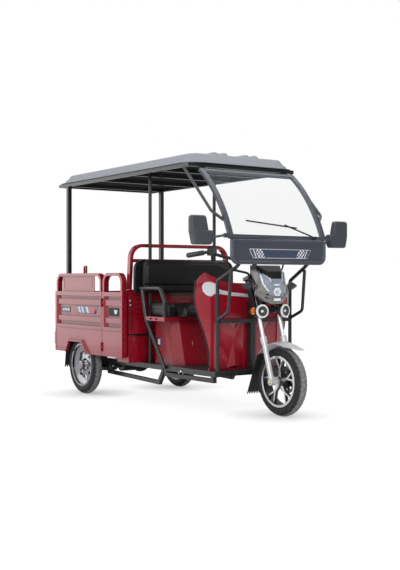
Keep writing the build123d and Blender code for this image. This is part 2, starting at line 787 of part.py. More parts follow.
# ---------------------------------------------------------------- seat and shield
def seat_base():
    """Moulded seat box, hollow and open below, with a shelf plate that overhangs at both sides."""
    def box(inset):
        levels = []
        roof = base_top + shelf_thickness - shelf_wall + 0.5
        for z, front, cut in ((on_rail - inset, base_front_low, base_cut_low),
                              (roof - inset, base_front_top, base_cut_top)):
            half, rear = base_half_width - inset, base_rear + inset
            points = [(rear, -half), (front - cut, -half), (front - inset, -half + cut),
                      (front - inset, half - cut), (front - cut, half), (rear, half)]
            levels.append(make_face(Polyline(*[(x, y, z) for x, y in points], close=True)))
        return loft(levels, ruled=True)

    middle = (on_rail + base_top) / 2
    body = box(0)
    for side in (-1, 1):
        ridge = [(base_front_low - 26, -205, on_rail + 8), (base_front_top - 20, -205, base_top - 30),
                 (base_front_low - 26, -95, on_rail + 8), (base_front_top - 20, -120, base_top - 30),
                 ((base_front_low + base_front_top) / 2 + 7, -152, middle)]
        body += convex([(x, side * y, z) for x, y, z in ridge])
    body -= box(base_wall)
    top = base_top + shelf_thickness
    shelf = block(base_rear - 12, shelf_front, -shelf_half_width, shelf_half_width, base_top, top)
    shelf -= block(base_rear - 12 + shelf_wall, shelf_front - shelf_wall, -shelf_half_width + shelf_wall,
                   shelf_half_width - shelf_wall, base_top - 1, top - shelf_wall)
    ears = both_sides(block(ear_rear, ear_front, -ear_half_width, 4 - shelf_half_width, base_top, top))
    slots = [Pos(x, side * ear_half_width, base_top + 14) * Box(34, 20, 10)
             for x in (940, 1010) for side in (-1, 1)]
    return body + shelf + ears - slots


def seat_cushion():
    """Bench cushion, lower towards its rounded front."""
    z0 = base_top + shelf_thickness + skin_gap
    profile = [(cushion_rear, z0), (cushion_rear, cushion_top_rear), (cushion_front - 60, cushion_top_front),
               (cushion_front, cushion_top_front - 20), (cushion_front, z0)]
    pad = slab_xz(profile, -cushion_half_width, cushion_half_width)
    pad = fillet(pad.edges().filter_by(Axis.Z), 34)
    return pad


def backrest():
    """Padded backrest with rounded upper corners."""
    pad = Pos(backboard_face + skin_gap, 0, backrest_bottom) * extrude(
        Plane.YZ * fillet(Rectangle(2 * backrest_half_width, backrest_top - backrest_bottom,
                                    align=(Align.CENTER, Align.MIN)).vertices().group_by(Axis.Y)[-1], 62),
        backrest_face - backboard_face)
    return fillet(pad.edges().group_by(Axis.X)[-1], 14)


def backboard():
    """Stiff board behind the backrest, carried by the two middle posts."""
    face = fillet(Rectangle(2 * backboard_half_width, backrest_top - backrest_bottom + 6,
                            align=(Align.CENTER, Align.MIN)).vertices().group_by(Axis.Y)[-1], 70)
    rear = mid_post_x + mid_post / 2 + skin_gap
    return Pos(rear, 0, backrest_bottom - 6) * extrude(Plane.YZ * face, backboard_face - rear)


def armrest():
    """Right armrest: a tube swept from the floor rail to the backrest, with a curved arm."""
    y = -armrest_y
    foot_y = -rail_outer - armrest_tube / 2 - 2 * skin_gap
    sweep_tube = bent_tube([(backboard_face + skin_gap, y, armrest_height), (794, y, armrest_height),
                            (852, y, 606), (1004, foot_y, rail_top), (1012, foot_y, rail_top - 22)],
                           armrest_tube / 2, 12)
    arm = bent_tube([(800, y, armrest_height), (1040, y, armrest_height),
                     (1098, y, 740), (1098, y, base_top + shelf_thickness + skin_gap)], armrest_tube / 2, 40)
    return sweep_tube + arm


def leg_shield():
    """Moulded leg shield: flat centre, swept-back wings, a leaning top and raised creases below."""
    face = centre_post_x - centre_post_size / 2 - skin_gap
    slope = math.tan(math.radians(shield_sweep))
    reach = shield_widest + 40
    faces = []
    for z, lean in ((on_rail, -10), (540, -2), (640, 0), (800, -4), (870, -32), (945, -44)):
        front = [(face + lean - shield_crown - (reach - shield_crease) * slope, -reach),
                 (face + lean - shield_crown, -shield_crease), (face + lean, 0),
                 (face + lean - shield_crown, shield_crease),
                 (face + lean - shield_crown - (reach - shield_crease) * slope, reach)]
        rear = [(x - shield_wall, y) for x, y in front]
        faces.append(make_face(Polyline(*[(x, y, z) for x, y in front + rear[::-1]], close=True)))
    shell = loft(faces, ruled=True)
    root = face - shield_crown - shield_wall / 2
    for side in (-1, 1):
        upper = [(root, -178, 606), (root, -72, 606), (root, -125, 522), (face + 5, -126, 592)]
        lower = [(root, -125, 522), (root, -186, on_rail + 12), (root, -74, on_rail + 12),
                 (face + 4, -128, on_rail + 30)]
        for corners in (upper, lower):
            shell += convex([(x, side * y, z) for x, y, z in corners])
    low, tip = shield_foot, shield_tip
    with BuildSketch(Plane.YZ) as outline:
        with BuildLine():
            Line((0, rail_top), (low, rail_top))
            Spline((low, rail_top), (low + 27, 530), (shield_widest - 22, 650), (shield_widest, 754),
                   (shield_widest - 11, 840), (tip, 940))
            Line((tip, 940), (232, 893))
            Spline((232, 893), (120, 872), (0, 868), tangents=((-1, -0.4), (-1, 0)))
            Line((0, 868), (0, rail_top))
        make_face()
        mirror(about=Plane.YZ)
    return shell & extrude(Pos(face - 400, 0, 0) * outline.sketch, 500)


# ---------------------------------------------------------------- roof and windscreen
def roof_shell():
    """Moulded roof: a hollow stepped tray with a rolled lip and rounded lengthwise ridges."""
    length = roof_front - roof_rear
    centre = (roof_front + roof_rear) / 2
    height = roof_top - roof_edge
    flank = math.tan(math.radians(38))

    def tray(inset, low, top):
        back = roof_lip + inset + low * flank
        base = Pos(centre, 0, roof_edge + low) * Rectangle(length - 2 * back, 2 * (roof_half_width - back))
        base = fillet(base.vertices(), roof_corner - inset - low * flank)
        return extrude(base, top - low, taper=38)

    crown = tray(roof_step, roof_step_height, height)
    crown = fillet(crown.edges().group_by(Axis.Z)[-1], 18)
    body = tray(0, 0, roof_step_height) + crown
    rim = fillet(Rectangle(length, 2 * roof_half_width).vertices(), roof_corner + 10)
    lip = extrude(Pos(centre, 0, roof_edge) * rim, 4)
    ridge_z = roof_top + ridge_height - ridge_radius
    ends = (roof_rear + 160, roof_front - 132)
    ridges = []
    for y in (-172, -93, 93, 172):
        ridges.append(rod((ends[0], y, ridge_z), (ends[1], y, ridge_z), ridge_radius))
        ridges += [Pos(x, y, ridge_z) * Sphere(ridge_radius) for x in ends]
    room = roof_step + roof_shell_thickness
    inner = Pos(0, 0, -0.5) * tray(room, 0, height - roof_shell_thickness + 0.5)
    return body + lip + ridges - inner


def roof_frame():
    """Square-tube frame under the roof: a perimeter and cross members over the posts."""
    half = roof_frame_bar / 2
    top = roof_edge - skin_gap
    low = top - roof_frame_bar
    x0, x1 = roof_rear + 34, brace_top_x + 40
    y = rear_post_y
    parts = [block(x0, x1, side * y - half, side * y + half, low, top) for side in (-1, 1)]
    for x in (x0, rear_post_x - half, 220, mid_post_x - half, 1080, x1 - roof_frame_bar):
        parts.append(block(x, x + roof_frame_bar, -y, y, low, top))
    for side in (-1, 1):
        parts.append(beam((x1 - 16, side * 350, top - 18),
                          (screen_top_x - 14, side * 350, screen_top_height + 5), 22, 20))
    return Part() + parts


def roof_lining():
    """Light lining panel with rounded corners that lies on the frame, inside the roof tray."""
    half = rear_post_y - 18
    panel = block(roof_rear + 48, roof_front - 68, -half, half, roof_edge, roof_edge + 3)
    return fillet(panel.edges().filter_by(Axis.Z), roof_corner - 35)


def roof_posts():
    """Two square rear posts on the bed's sides and two round middle posts behind the seat."""
    top = roof_edge - skin_gap - roof_frame_bar
    half = rear_post / 2
    rear = [block(rear_post_x - half, rear_post_x + half, y - half, y + half,
                  floor_top - post_notch + skin_gap, top) for y in (-rear_post_y, rear_post_y)]
    middle = [rod((mid_post_x, y, rail_top), (mid_post_x, y, top), mid_post / 2)
              for y in (-mid_post_y, mid_post_y)]
    return rear + middle


def screen_arc(offset=0.0, y=0.0, start=0.0, end=1.0):
    """The windscreen's side curve, moved outward by an offset and cut to a share of its length."""
    base = ThreePointArc((screen_foot_x, y, screen_foot_height), (screen_mid_x, y, screen_mid_height),
                         (screen_top_x, y, screen_top_height))
    centre = base.arc_center

    def at(share):
        spoke = base @ share - centre
        return centre + spoke * ((spoke.length + offset) / spoke.length)

    return ThreePointArc(at(start), at((start + end) / 2), at(end))


def screen_frame():
    """Curved side bars and the cross bars at their foot and top."""
    bars = []
    for side in (-1, 1):
        arc = screen_arc(0, side * screen_half_width)
        start = Plane(origin=arc @ 0, x_dir=(0, 1, 0), z_dir=arc % 0)
        bars.append(sweep(start * Rectangle(screen_frame_width, screen_frame_depth), path=arc))
    half = screen_half_width
    arc = screen_arc()
    for share in (0.02, 0.98):
        place, along = arc @ share, arc % share
        bars.append(beam((place.X, -half, place.Z), (place.X, half, place.Z), screen_frame_depth, 26,
                         roll=(along.X, 0, along.Z)))
    return Part() + bars


def screen_brace():
    """Right outer brace, from the roof's frame round to the side bar, where it is cut flush."""
    side = -screen_half_width - screen_frame_width / 2
    tube = bent_tube([(brace_top_x, -brace_y, brace_top_height - 6),
                      (brace_elbow_x, -brace_y, brace_elbow_height),
                      (brace_foot_x, side + 6, brace_foot_height)], brace_tube / 2, 40)
    return tube - block(brace_foot_x - 60, brace_foot_x + 60, side, side + 60,
                        brace_foot_height - 60, brace_foot_height + 60)


def screen_glass():
    """Single-curved clear screen on the front of the side bars."""
    arc = screen_arc(screen_frame_depth / 2 + screen_thickness / 2 + skin_gap, start=0.05)
    start = Plane(origin=arc @ 0, x_dir=(0, 1, 0), z_dir=arc % 0)
    return sweep(start * Rectangle(2 * screen_half_width - 10, screen_thickness), path=arc)


def cowl():
    """Moulded panel under the windscreen: rounded lower corners, a rolled rim and a sunk, bevelled face."""
    def panel(inset, top):
        plate = Pos(0, cowl_bottom + inset) * Rectangle(
            2 * (cowl_half_width - inset), top - cowl_bottom - inset, align=(Align.CENTER, Align.MIN))
        return fillet(plate.vertices().group_by(Axis.Y)[0], cowl_corner - inset)

    body = extrude(Plane.YZ.offset(cowl_face - cowl_depth) * panel(0, cowl_top), cowl_depth)
    body = fillet(body.faces().sort_by(Axis.X)[-1].edges(), cowl_lip)
    hollow = extrude(Plane.YZ.offset(cowl_face - cowl_depth - 1) * panel(10, cowl_top + 10),
                     cowl_depth - cowl_sink - cowl_wall)
    sunk = loft([Plane.YZ.offset(cowl_face - cowl_sink) * panel(24, cowl_top - 16),
                 Plane.YZ.offset(cowl_face + 1) * panel(15, cowl_top - 8)])
    return body - hollow - sunk


def mirror_shell(outline, rounds, front, depth):
    """One moulded half of a mirror: an outline in the YZ plane with rounded corners and front edge."""
    face = make_face(Polyline(*[(mirror_x, y, z) for y, z in outline], close=True))
    shell = extrude(face, amount=depth, dir=(-1, 0, 0))
    shell = Pos(front - mirror_x, 0, 0) * fillet(shell.edges().filter_by(Axis.X), rounds)
    return fillet(shell.faces().sort_by(Axis.X)[-1].edges(), mirror_round)


def mirror_housing():
    """Right mirror: a tall upper shell over a wider lower one, and its arm to the screen's bar."""
    y = -mirror_outer
    upper = mirror_shell([(y, mirror_split - 30), (y, mirror_high), (y + 112, mirror_high),
                          (y + 138, mirror_split - 30)],
                         22, mirror_x + mirror_depth / 2 - 6, mirror_depth - 10)
    lower = mirror_shell([(y + 22, mirror_low), (y + 2, mirror_split), (y + 166, mirror_split),
                          (y + 170, mirror_split - 52), (y + 148, mirror_low)],
                         17, mirror_x + mirror_depth / 2, mirror_depth)
    pocket = block(mirror_x - mirror_depth, mirror_x - mirror_depth / 2 + 8, y + 24, y + 116,
                   mirror_low + 16, mirror_high - 16)
    frame_side = -screen_half_width - screen_frame_width / 2 - skin_gap
    arm = bent_tube([(mirror_x + 4, y + 155, 1158), (screen_foot_x - 8, frame_side - 30, 1172),
                     (screen_foot_x - 8, frame_side, 1172)], 8, 12)
    elbow = Pos(mirror_x + 2, y + 168, 1162) * Sphere(15)
    clamp = block(screen_foot_x - 22, screen_foot_x + 6, frame_side - 26, frame_side, 1158, 1186)
    return upper + lower - pocket + arm + elbow + clamp


def mirror_glass():
    """The two mirror panes, seated in their housings."""
    y = -mirror_outer
    x = mirror_x - mirror_depth / 2 + 8 - skin_gap
    pane = block(x - 3, x, y + 25, y + 115, mirror_low + 17, mirror_high - 17)
    return both_sides(pane)


def wiper():
    """Wiper: pivot boss, arm and blade on the foot of the screen."""
    def on_screen(t, y, lift):
        arc = screen_arc(screen_frame_depth / 2 + screen_thickness + lift)
        point = arc @ t
        return (point.X, y, point.Z)
    pivot = on_screen(0.012, 300, 12)
    arm = rod(pivot, on_screen(0.16, 60, 12), 5)
    blade = rod(on_screen(0.13, 160, 8), on_screen(0.2, -250, 8), 5)
    boss = rod(on_screen(0.012, 300, skin_gap - screen_thickness), on_screen(0.012, 300, 18), 11)
    return arm + blade + boss


# ---------------------------------------------------------------- steering body
def on_bar(back, y, z):
    """A point at a distance behind the top of the steering stem."""
    return (stem_x(stem_top) - back, y, z)


def handlebar():
    """Stem and handlebar with grips, switch cases and levers."""
    low = lower_clamp_height - 12
    stem = rod((stem_x(low), 0, low), (stem_x(stem_top), 0, stem_top), stem_radius)
    points = [on_bar(169.5, -440, 1052), on_bar(89.5, -330, 1075), on_bar(-4, -90, stem_top + 2),
              on_bar(-4, 90, stem_top + 2), on_bar(89.5, 330, 1075), on_bar(169.5, 440, 1052)]
    bar = bent_tube(points, handlebar_tube / 2, 50)
    grips = both_sides(rod(on_bar(165.5, -434, 1053), on_bar(99.5, -344, 1072), grip_tube / 2))
    cases = both_sides(Pos(*on_bar(69.5, -300, case_low + 26)) * Rot(0, 0, -58) * Box(64, 44, 52))
    levers = both_sides(rod(on_bar(44.5, -310, 1075), on_bar(114.5, -440, 1052), 6))
    return stem + bar + grips + cases + levers


def cable(radius):
    """Right loom: from under the switch case, round past the yoke, down to the side cover's top."""
    low = upper_clamp_height - cover_gap
    x, y = leg_x(low) + 8, -(leg_spacing / 2 + yoke_overhang + skin_gap + radius)
    return bent_tube([on_bar(58.5, -308, case_low), on_bar(58.5, -308, case_low - 40),
                      on_bar(-12.5, -236, 966), (x, y, low + 52), (x, y, low)], radius, 26)


def cables():
    """Wiring loom on the right and the thinner brake hose on the left, held at both ends."""
    return [cable(loom_radius), mirror(cable(hose_radius), about=Plane.XZ)]


def fork_upper():
    """Upper and lower yokes, and the polished upper tubes of the fork."""
    yokes = []
    for z, thick in ((lower_clamp_height, 30), (upper_clamp_height, 22)):
        centre = Vector((leg_x(z) + stem_x(z)) / 2, 0, z)
        yokes.append(Pos(*centre) * tilted(Box(yoke_length, leg_spacing + 2 * yoke_overhang, thick)))
    yokes[0] -= rod((stem_x(640), 0, 640), (stem_x(740), 0, 740), stem_radius + skin_gap)
    yokes[1] -= rod((stem_x(850), 0, 850), (stem_x(960), 0, 960), stem_radius + skin_gap)
    low, high = collar_height - 40, upper_clamp_height + 14
    legs = both_sides(rod((leg_x(low), -leg_y, low), (leg_x(high), -leg_y, high), upper_leg_diameter / 2))
    brackets = both_sides(rod((leg_x(lamp_height), -leg_y, lamp_height),
                              (leg_x(lamp_height) + lamp_offset - skin_gap, -leg_y, lamp_height), 10))
    return Part() + yokes + legs + brackets


def side_cover():
    """Right side cover of the fork's head, hung on the ends of the two yokes."""
    y = -(leg_spacing / 2 + yoke_overhang) - skin_gap
    low, high = lamp_height - 32, upper_clamp_height - cover_gap
    return slab_xz([(leg_x(low) - 26, low), (leg_x(low) + 20, low), (leg_x(high) + 20, high),
                    (leg_x(high) - 34, high)], y - cover_thickness, y)


def side_reflector():
    """Right amber reflector at the foot of the side cover."""
    y = -(leg_spacing / 2 + yoke_overhang) - cover_thickness - 2 * skin_gap
    x = leg_x(lamp_height) + 2
    return rod((x, y, lamp_height), (x, y - 7, lamp_height), reflector_radius)


def fork_lower():
    """Right lower leg: slider with its collar and axle eye."""
    top = collar_height
    eye = (wheelbase, -leg_y, axle_height)
    foot = axle_height - 12
    slider = rod((leg_x(top), -leg_y, top), (leg_x(foot), -leg_y, foot), lower_leg_diameter / 2)
    collar = rod((leg_x(top), -leg_y, top), (leg_x(top - 42), -leg_y, top - 42), collar_diameter / 2)
    boss = rod((eye[0], eye[1] - 17, eye[2]), (eye[0], eye[1] + 17, eye[2]), 22)
    bore = rod((leg_x(top + 5), -leg_y, top + 5), (leg_x(top - 46), -leg_y, top - 46),
               upper_leg_diameter / 2 + skin_gap)
    lug_x = leg_x(lug_height)
    lug = rod((lug_x, -leg_y, lug_height), (lug_x, -fender_half_width - skin_gap, lug_height), 9)
    return slider + collar + boss - bore + lug


def fork_lamp():
    """Right round lamp, turned outward: a bezel ring around a stepped reflector with its bulb."""
    x, y = leg_x(lamp_height) + lamp_offset, -leg_y - 6
    body = Cylinder(lamp_radius, lamp_depth, align=(Align.CENTER, Align.CENTER, Align.MIN))
    body = fillet(body.edges().group_by(Axis.Z)[-1], 4)
    for radius, sink in ((lamp_radius - 12, 8), (lamp_radius - 18, 11), (lamp_radius - 24, 14)):
        body -= Pos(0, 0, lamp_depth - sink) * Cylinder(
            radius, sink + 1, align=(Align.CENTER, Align.CENTER, Align.MIN))
    body += Pos(0, 0, lamp_depth - 15) * Cylinder(9, 10, align=(Align.CENTER, Align.CENTER, Align.MIN))
    neck = Pos(0, 0, -12) * Cylinder(20, 14, align=(Align.CENTER, Align.CENTER, Align.MIN))
    turned = Pos(x, y, lamp_height) * Rot(0, 0, -lamp_turn) * Rot(0, 90, 0) * (body + neck)
    behind = block(x - 40, x - skin_gap, y - 40, y + 40, lamp_height - 40, lamp_height + 40)
    return turned - behind


def lamp_plate():
    """Plate across the lower yoke's front, between the two round lamps."""
    centre = Vector((leg_x(lower_clamp_height) + stem_x(lower_clamp_height)) / 2, 0, lower_clamp_height)
    plate = Pos(yoke_length / 2 + skin_gap + 2, 0, -6) * Box(4, 2 * lamp_plate_half, 50)
    return Pos(*centre) * tilted(plate)


def lamp_corner(name, side, back=0.0):
    """A named corner of the headlamp's faceted body, moved back by a distance."""
    x, y, z = lamp_corners[name]
    return (lamp_face_x + x - back, side * y, lamp_face_z + z)


def lamp_piece(names, shifts, back=0.0):
    """Convex piece between named corners on both sides, given depth by shifting some of them back."""
    points = [lamp_corner(name, side, back) for name in names for side in (-1, 1)]
    points += [lamp_corner(name, side, back + depth) for name, depth in shifts for side in (-1, 1)]
    return convex(points)


def lamp_side(names, shifts, side):
    """As lamp_piece, on one side only."""
    points = [lamp_corner(name, side) for name in names]
    points += [lamp_corner(name, side, depth) for name, depth in shifts]
    return convex(points)


def lamp_cover():
    """Clear V-shaped cover over the front of the headlamp, between hood, cheeks and side panels."""
    names = ("lens_top", "lens_mid", "lens_low", "nose", "trim")
    cover = lamp_piece(names, [(name, lens_thickness) for name in names])
    behind = lamp_piece(names, [(name, lens_thickness + 20) for name in names], lens_thickness)
    cover = cover - behind - fairing_body() - lamp_space() - dash_hood()
    return cover.solids().sort_by(SortBy.VOLUME)[-1]


def lamp_space():
    """The space of the hexagonal lamp and of the light bar under it."""
    face = Plane(origin=(lamp_face_x - 14, 0, lamp_face_z), x_dir=(0, 1, 0), z_dir=(1, 0, 0))
    bar = block(lamp_face_x - 11 - skin_gap, lamp_face_x + 5, -27 - skin_gap, 27 + skin_gap,
                lamp_face_z - 60 - skin_gap, lamp_face_z - 43 + skin_gap)
    return extrude(face * RegularPolygon(31.5, 6), 19) + bar


def headlamp_lens():
    """Hexagonal main lamp with its raised ring, and the light bar below it."""
    face = Plane(origin=(lamp_face_x - 13, 0, lamp_face_z), x_dir=(0, 1, 0), z_dir=(1, 0, 0))
    lamp = extrude(face * RegularPolygon(31, 6), 18) - extrude(face.offset(13) * RegularPolygon(22, 6), 6)
    bar = block(lamp_face_x - 11, lamp_face_x + 3, -27, 27, lamp_face_z - 60, lamp_face_z - 43)
    return [lamp, bar]


def fairing_body():
    """Headlamp housing: core behind the cover, chin, two cheeks with slots, and two side panels."""
    front = ("lens_top", "lens_mid", "lens_low", "nose", "trim")
    core = lamp_piece(front, [("lens_top", 70), ("lens_low", 95), ("nose", 95), ("trim", 95)],
                      lens_thickness + 12)
    chin = lamp_piece(("nose", "chin", "bottom"), [("nose", 90), ("chin", 80), ("bottom", 60)])
    parts = [core, chin]
    for side in (-1, 1):
        parts.append(lamp_side(
            ("lens_low", "nose", "chin", "bottom", "cheek_tip", "cheek_top", "cheek_low"),
            [("lens_low", 80), ("cheek_tip", 14), ("cheek_top", 16), ("cheek_low", 40), ("nose", 80)], side))
        parts.append(lamp_side(("lens_low", "lens_mid", "notch", "cheek_top"),
                               [("lens_low", 60), ("lens_mid", 60), ("notch", 30), ("cheek_top", 16)], side))
        parts.append(lamp_panel(side))
    slots = []
    for side in (-1, 1):
        for z in (-22, -42):
            middle = Pos(lamp_face_x - 22, side * 66, lamp_face_z + z)
            slots.append(middle * Rot(side * 22, 0, -side * 40) * Box(26, 36, 8))
    return Part() + parts - slots - lamp_space()


def lamp_panel(side):
    """Side panel that runs back from the cover's edge to the ear, as a thick skin."""
    names = ("lens_top", "lens_mid", "notch", "edge", "ear_low", "ear", "brow")
    outer = [lamp_corner(name, side) for name in names]
    inner = [(x, y - side * 26, z) for x, y, z in outer]
    return convex(outer + inner)


def fairing():
    """Headlamp housing with its bosses to the upper yoke, and the stalks of the signals."""
    ahead = Vector(math.cos(math.radians(rake)), 0, math.sin(math.radians(rake)))
    yoke_x = (leg_x(upper_clamp_height) + stem_x(upper_clamp_height)) / 2
    start = Vector(yoke_x, 0, upper_clamp_height) + ahead * (yoke_length / 2 + skin_gap)
    bosses = [rod(start + Vector(0, y, 0), start + Vector(0, y, 0) + ahead * 60, 9) for y in (-50, 50)]
    stalk_x = lamp_face_x - signal_back
    stalks = both_sides(rod((stalk_x, -90, signal_height),
                            (stalk_x, skin_gap - signal_root, signal_height), 8))
    return fairing_body() + bosses + stalks


def dash_hood():
    """Black hood of the instruments, which rises from the headlamp's trim."""
    outline = ((-92, 98, 174), (-168, 96, 176), (-168, 96, 140), (-110, 96, 140), (-31, 60, 134),
               (-6, 43, 102), (-6, 43, 86), (-110, 60, 92))
    hood = convex([(lamp_face_x + x, side * y, lamp_face_z + z) for side in (-1, 1) for x, y, z in outline])
    return (hood - fairing()).solids().sort_by(SortBy.VOLUME)[-1]


def signal():
    """Right turn signal on its stalk."""
    x, y0, z = lamp_face_x - signal_back, -signal_root, signal_height
    body = loft([
        Plane(origin=(x - 5, y0, z), x_dir=(1, 0, 0), z_dir=(0, -1, 0)) * Rectangle(26, 26),
        Plane(origin=(x + 2, y0 - 36, z), x_dir=(1, 0, 0), z_dir=(0, -1, 0)) * Rectangle(44, 58),
        Plane(origin=(x, y0 - 84, z + 4), x_dir=(1, 0, 0), z_dir=(0, -1, 0)) * Rectangle(10, 8),
    ])
    return body


def fender():
    """Front fender: a crowned band over the tyre, flared forward to a narrow tip."""
    inner = fender_radius - fender_crown - fender_thickness
    middle = (fender_rear + fender_front) / 2
    arc = ThreePointArc(around_front(inner, fender_rear), around_front(inner, middle),
                        around_front(inner, fender_front))
    tip = Line(arc @ 1, arc @ 1 + (arc % 1) * fender_tip)
    path = Wire([arc.edge(), tip.edge()])
    start = Plane(origin=path @ 0, x_dir=(0, 1, 0), z_dir=path % 0)
    half, rise, wall = fender_half_width, fender_crown, fender_thickness
    crown = make_face(Wire([
        Edge.make_three_point_arc((-half, 0, 0), (0, rise, 0), (half, 0, 0)),
        Edge.make_line((half, 0, 0), (half, wall, 0)),
        Edge.make_three_point_arc((half, wall, 0), (0, rise + wall, 0), (-half, wall, 0)),
        Edge.make_line((-half, wall, 0), (-half, 0, 0)),
    ]).edges())
    band = sweep(start * crown, path=path)
    nose = wheelbase + 70
    end = (path @ 1).X + 20
    plan = [(wheelbase - 260, -half - 5), (nose, -half - 5), (end, -14), (end, 14), (nose, half + 5),
            (wheelbase - 260, half + 5)]
    outline = make_face(Polyline(*[(x, y, axle_height) for x, y in plan], close=True))
    return band & extrude(outline, fender_radius + 60)


# ---------------------------------------------------------------- nodes
def build_nodes():
    """Every node's shape, by name, in the modelling frame."""
    wheel_x, y = wheelbase, half_track
    pin = rod((wheelbase, -leg_y - 24, axle_height), (wheelbase, leg_y + 24, axle_height), front_pin_radius)
    nodes = {
        "chassis_frame": chassis(),
        "steering_head": steering_head(),
        "floor_pan": block(floor_rear, rail_front - 22, rail_size / 2 - rail_y, rail_y - rail_size / 2,
                           rail_top - floor_plate, rail_top),
        "front_guards": both_sides(guards()),
        "leg_shield": leg_shield(),
        "seat_base": seat_base(),
        "battery_pack": block(base_rear + 40, base_front_top - 40, -200, 200, on_rail, 500),
        "seat_cushion": seat_cushion(),
        "backrest": backrest(),
        "backboard": backboard(),
        "armrests": both_sides(armrest()),
        "bed_floor": bed_floor(),
        "bed_front_wall": [front_wall(), hoop()],
        "bed_side_right": bed_side(),
        "bed_side_left": mirror(bed_side(), about=Plane.XZ),
        "side_door_right": side_door(),
        "side_door_left": mirror(side_door(), about=Plane.XZ),
        "tailgate": tailgate(),
        "roof_frame": [roof_frame()] + roof_posts(),
        "roof_shell": roof_shell(),
        "roof_lining": roof_lining(),
        "windscreen_frame": screen_frame(),
        "screen_braces": both_sides(screen_brace()) + [wiper()],
        "windscreen": screen_glass(),
        "cowl": cowl(),
        "mirrors": both_sides(mirror_housing()),
        "mirror_glass": mirror_glass(),
        "tail_lamps": both_sides(tail_lamp()),
        "rear_axle": rear_axle(),
        "leaf_springs": both_sides(leaf_spring()),
        "handlebar": handlebar(),
        "fork_upper": fork_upper(),
        "fork_lower": Part() + both_sides(fork_lower()) + pin,
        "fork_lamps": both_sides(fork_lamp()),
        "headlamp_fairing": fairing(),
        "headlamp_lens": headlamp_lens(),
        "headlamp_cover": lamp_cover(),
        "steering_covers": [dash_hood(), lamp_plate()] + both_sides(side_cover()),
        "cables": cables(),
        "side_reflectors": both_sides(side_reflector()),
        "turn_signals": both_sides(signal()),
        "front_fender": fender(),
        "front_mudflap": front_flap(),
        "rear_mudflaps": both_sides(rear_flap()),
        "front_rim": on_axle(front_rim(), wheel_x, 0, -1),
        "front_tyre": on_axle(tyre(), wheel_x, 0, -1),
        "rear_rim_right": on_axle(rear_rim(), 0, -y, -1),
        "rear_tyre_right": on_axle(tyre(), 0, -y, -1),
        "rear_rim_left": on_axle(rear_rim(), 0, y, 1),
        "rear_tyre_left": on_axle(tyre(), 0, y, 1),
    }
    return nodes


os.makedirs("parts", exist_ok=True)
for name, shape in build_nodes().items():
    solids = shape if isinstance(shape, list) else [shape]
    placed = [Pos(-mid_x, 0, 0) * solid for solid in solids]
    node = placed[0] if len(placed) == 1 else Compound(children=placed)
    export_step(node, f"parts/{name}.step")
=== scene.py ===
"""Electric cargo tricycle: finishes, tyres, padding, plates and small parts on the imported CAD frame.

Lengths are metres in the frame's axes: x forward, y to the left, z up. Small parts are placed by at(),
which takes millimetres from the rear axle, the centre plane and the ground.
"""
import math

import bmesh
import bpy
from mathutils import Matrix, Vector
from mathutils.bvhtree import BVHTree


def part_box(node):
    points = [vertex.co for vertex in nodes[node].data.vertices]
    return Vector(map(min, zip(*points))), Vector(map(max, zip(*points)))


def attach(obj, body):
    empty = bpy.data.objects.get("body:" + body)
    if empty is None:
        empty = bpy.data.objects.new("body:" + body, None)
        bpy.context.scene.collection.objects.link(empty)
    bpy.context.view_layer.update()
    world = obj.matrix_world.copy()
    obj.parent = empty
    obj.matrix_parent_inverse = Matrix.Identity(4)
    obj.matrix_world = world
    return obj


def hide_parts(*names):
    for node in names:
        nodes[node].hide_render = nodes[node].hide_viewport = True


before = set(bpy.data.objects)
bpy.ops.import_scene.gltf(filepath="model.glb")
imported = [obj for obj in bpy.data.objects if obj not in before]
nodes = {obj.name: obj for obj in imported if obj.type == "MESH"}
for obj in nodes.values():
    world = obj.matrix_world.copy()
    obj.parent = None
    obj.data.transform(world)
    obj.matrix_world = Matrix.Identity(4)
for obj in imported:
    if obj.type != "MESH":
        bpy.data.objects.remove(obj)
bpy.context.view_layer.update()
scene = bpy.context.scene

FORWARD = Vector((1, 0, 0))
SIDES = ((-1, "right"), (1, "left"))      # direction along y, and how names end


# -------------------- places taken from the frame
def middle(node):
    """Centre of a CAD node's box."""
    low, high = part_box(node)
    return (low + high) / 2


FRONT_WHEEL = middle("front_rim")
REAR_WHEELS = [middle(f"rear_rim_{end}") for _, end in SIDES]
REAR_X = (REAR_WHEELS[0].x + REAR_WHEELS[1].x) / 2


def at(x, y, z):
    """A point given in millimetres from the rear axle, the centre plane and the ground."""
    return Vector((REAR_X + x / 1000, y / 1000, z / 1000))


LAMP_TURN = math.radians(12)              # how far the round lamps look outwards
LAMP_AXIS = Vector((math.cos(LAMP_TURN), math.sin(LAMP_TURN), 0))
LAMP_DEPTH = 0.034
LAMP_CENTRE = Vector((at(1775, 0, 0).x, 0.091, middle("fork_lamps").z))


# -------------------- shader helpers
def linear(r, g, b):
    """A colour written as 0 to 255 screen values, as the linear values that shaders take."""
    shares = (c / 255 for c in (r, g, b))
    return (*(c / 12.92 if c <= 0.04045 else ((c + 0.055) / 1.055) ** 2.4 for c in shares), 1.0)


def scaled(colour, factor):
    """The colour made lighter or darker."""
    return tuple(min(1.0, c * factor) for c in colour[:3]) + (1.0,)


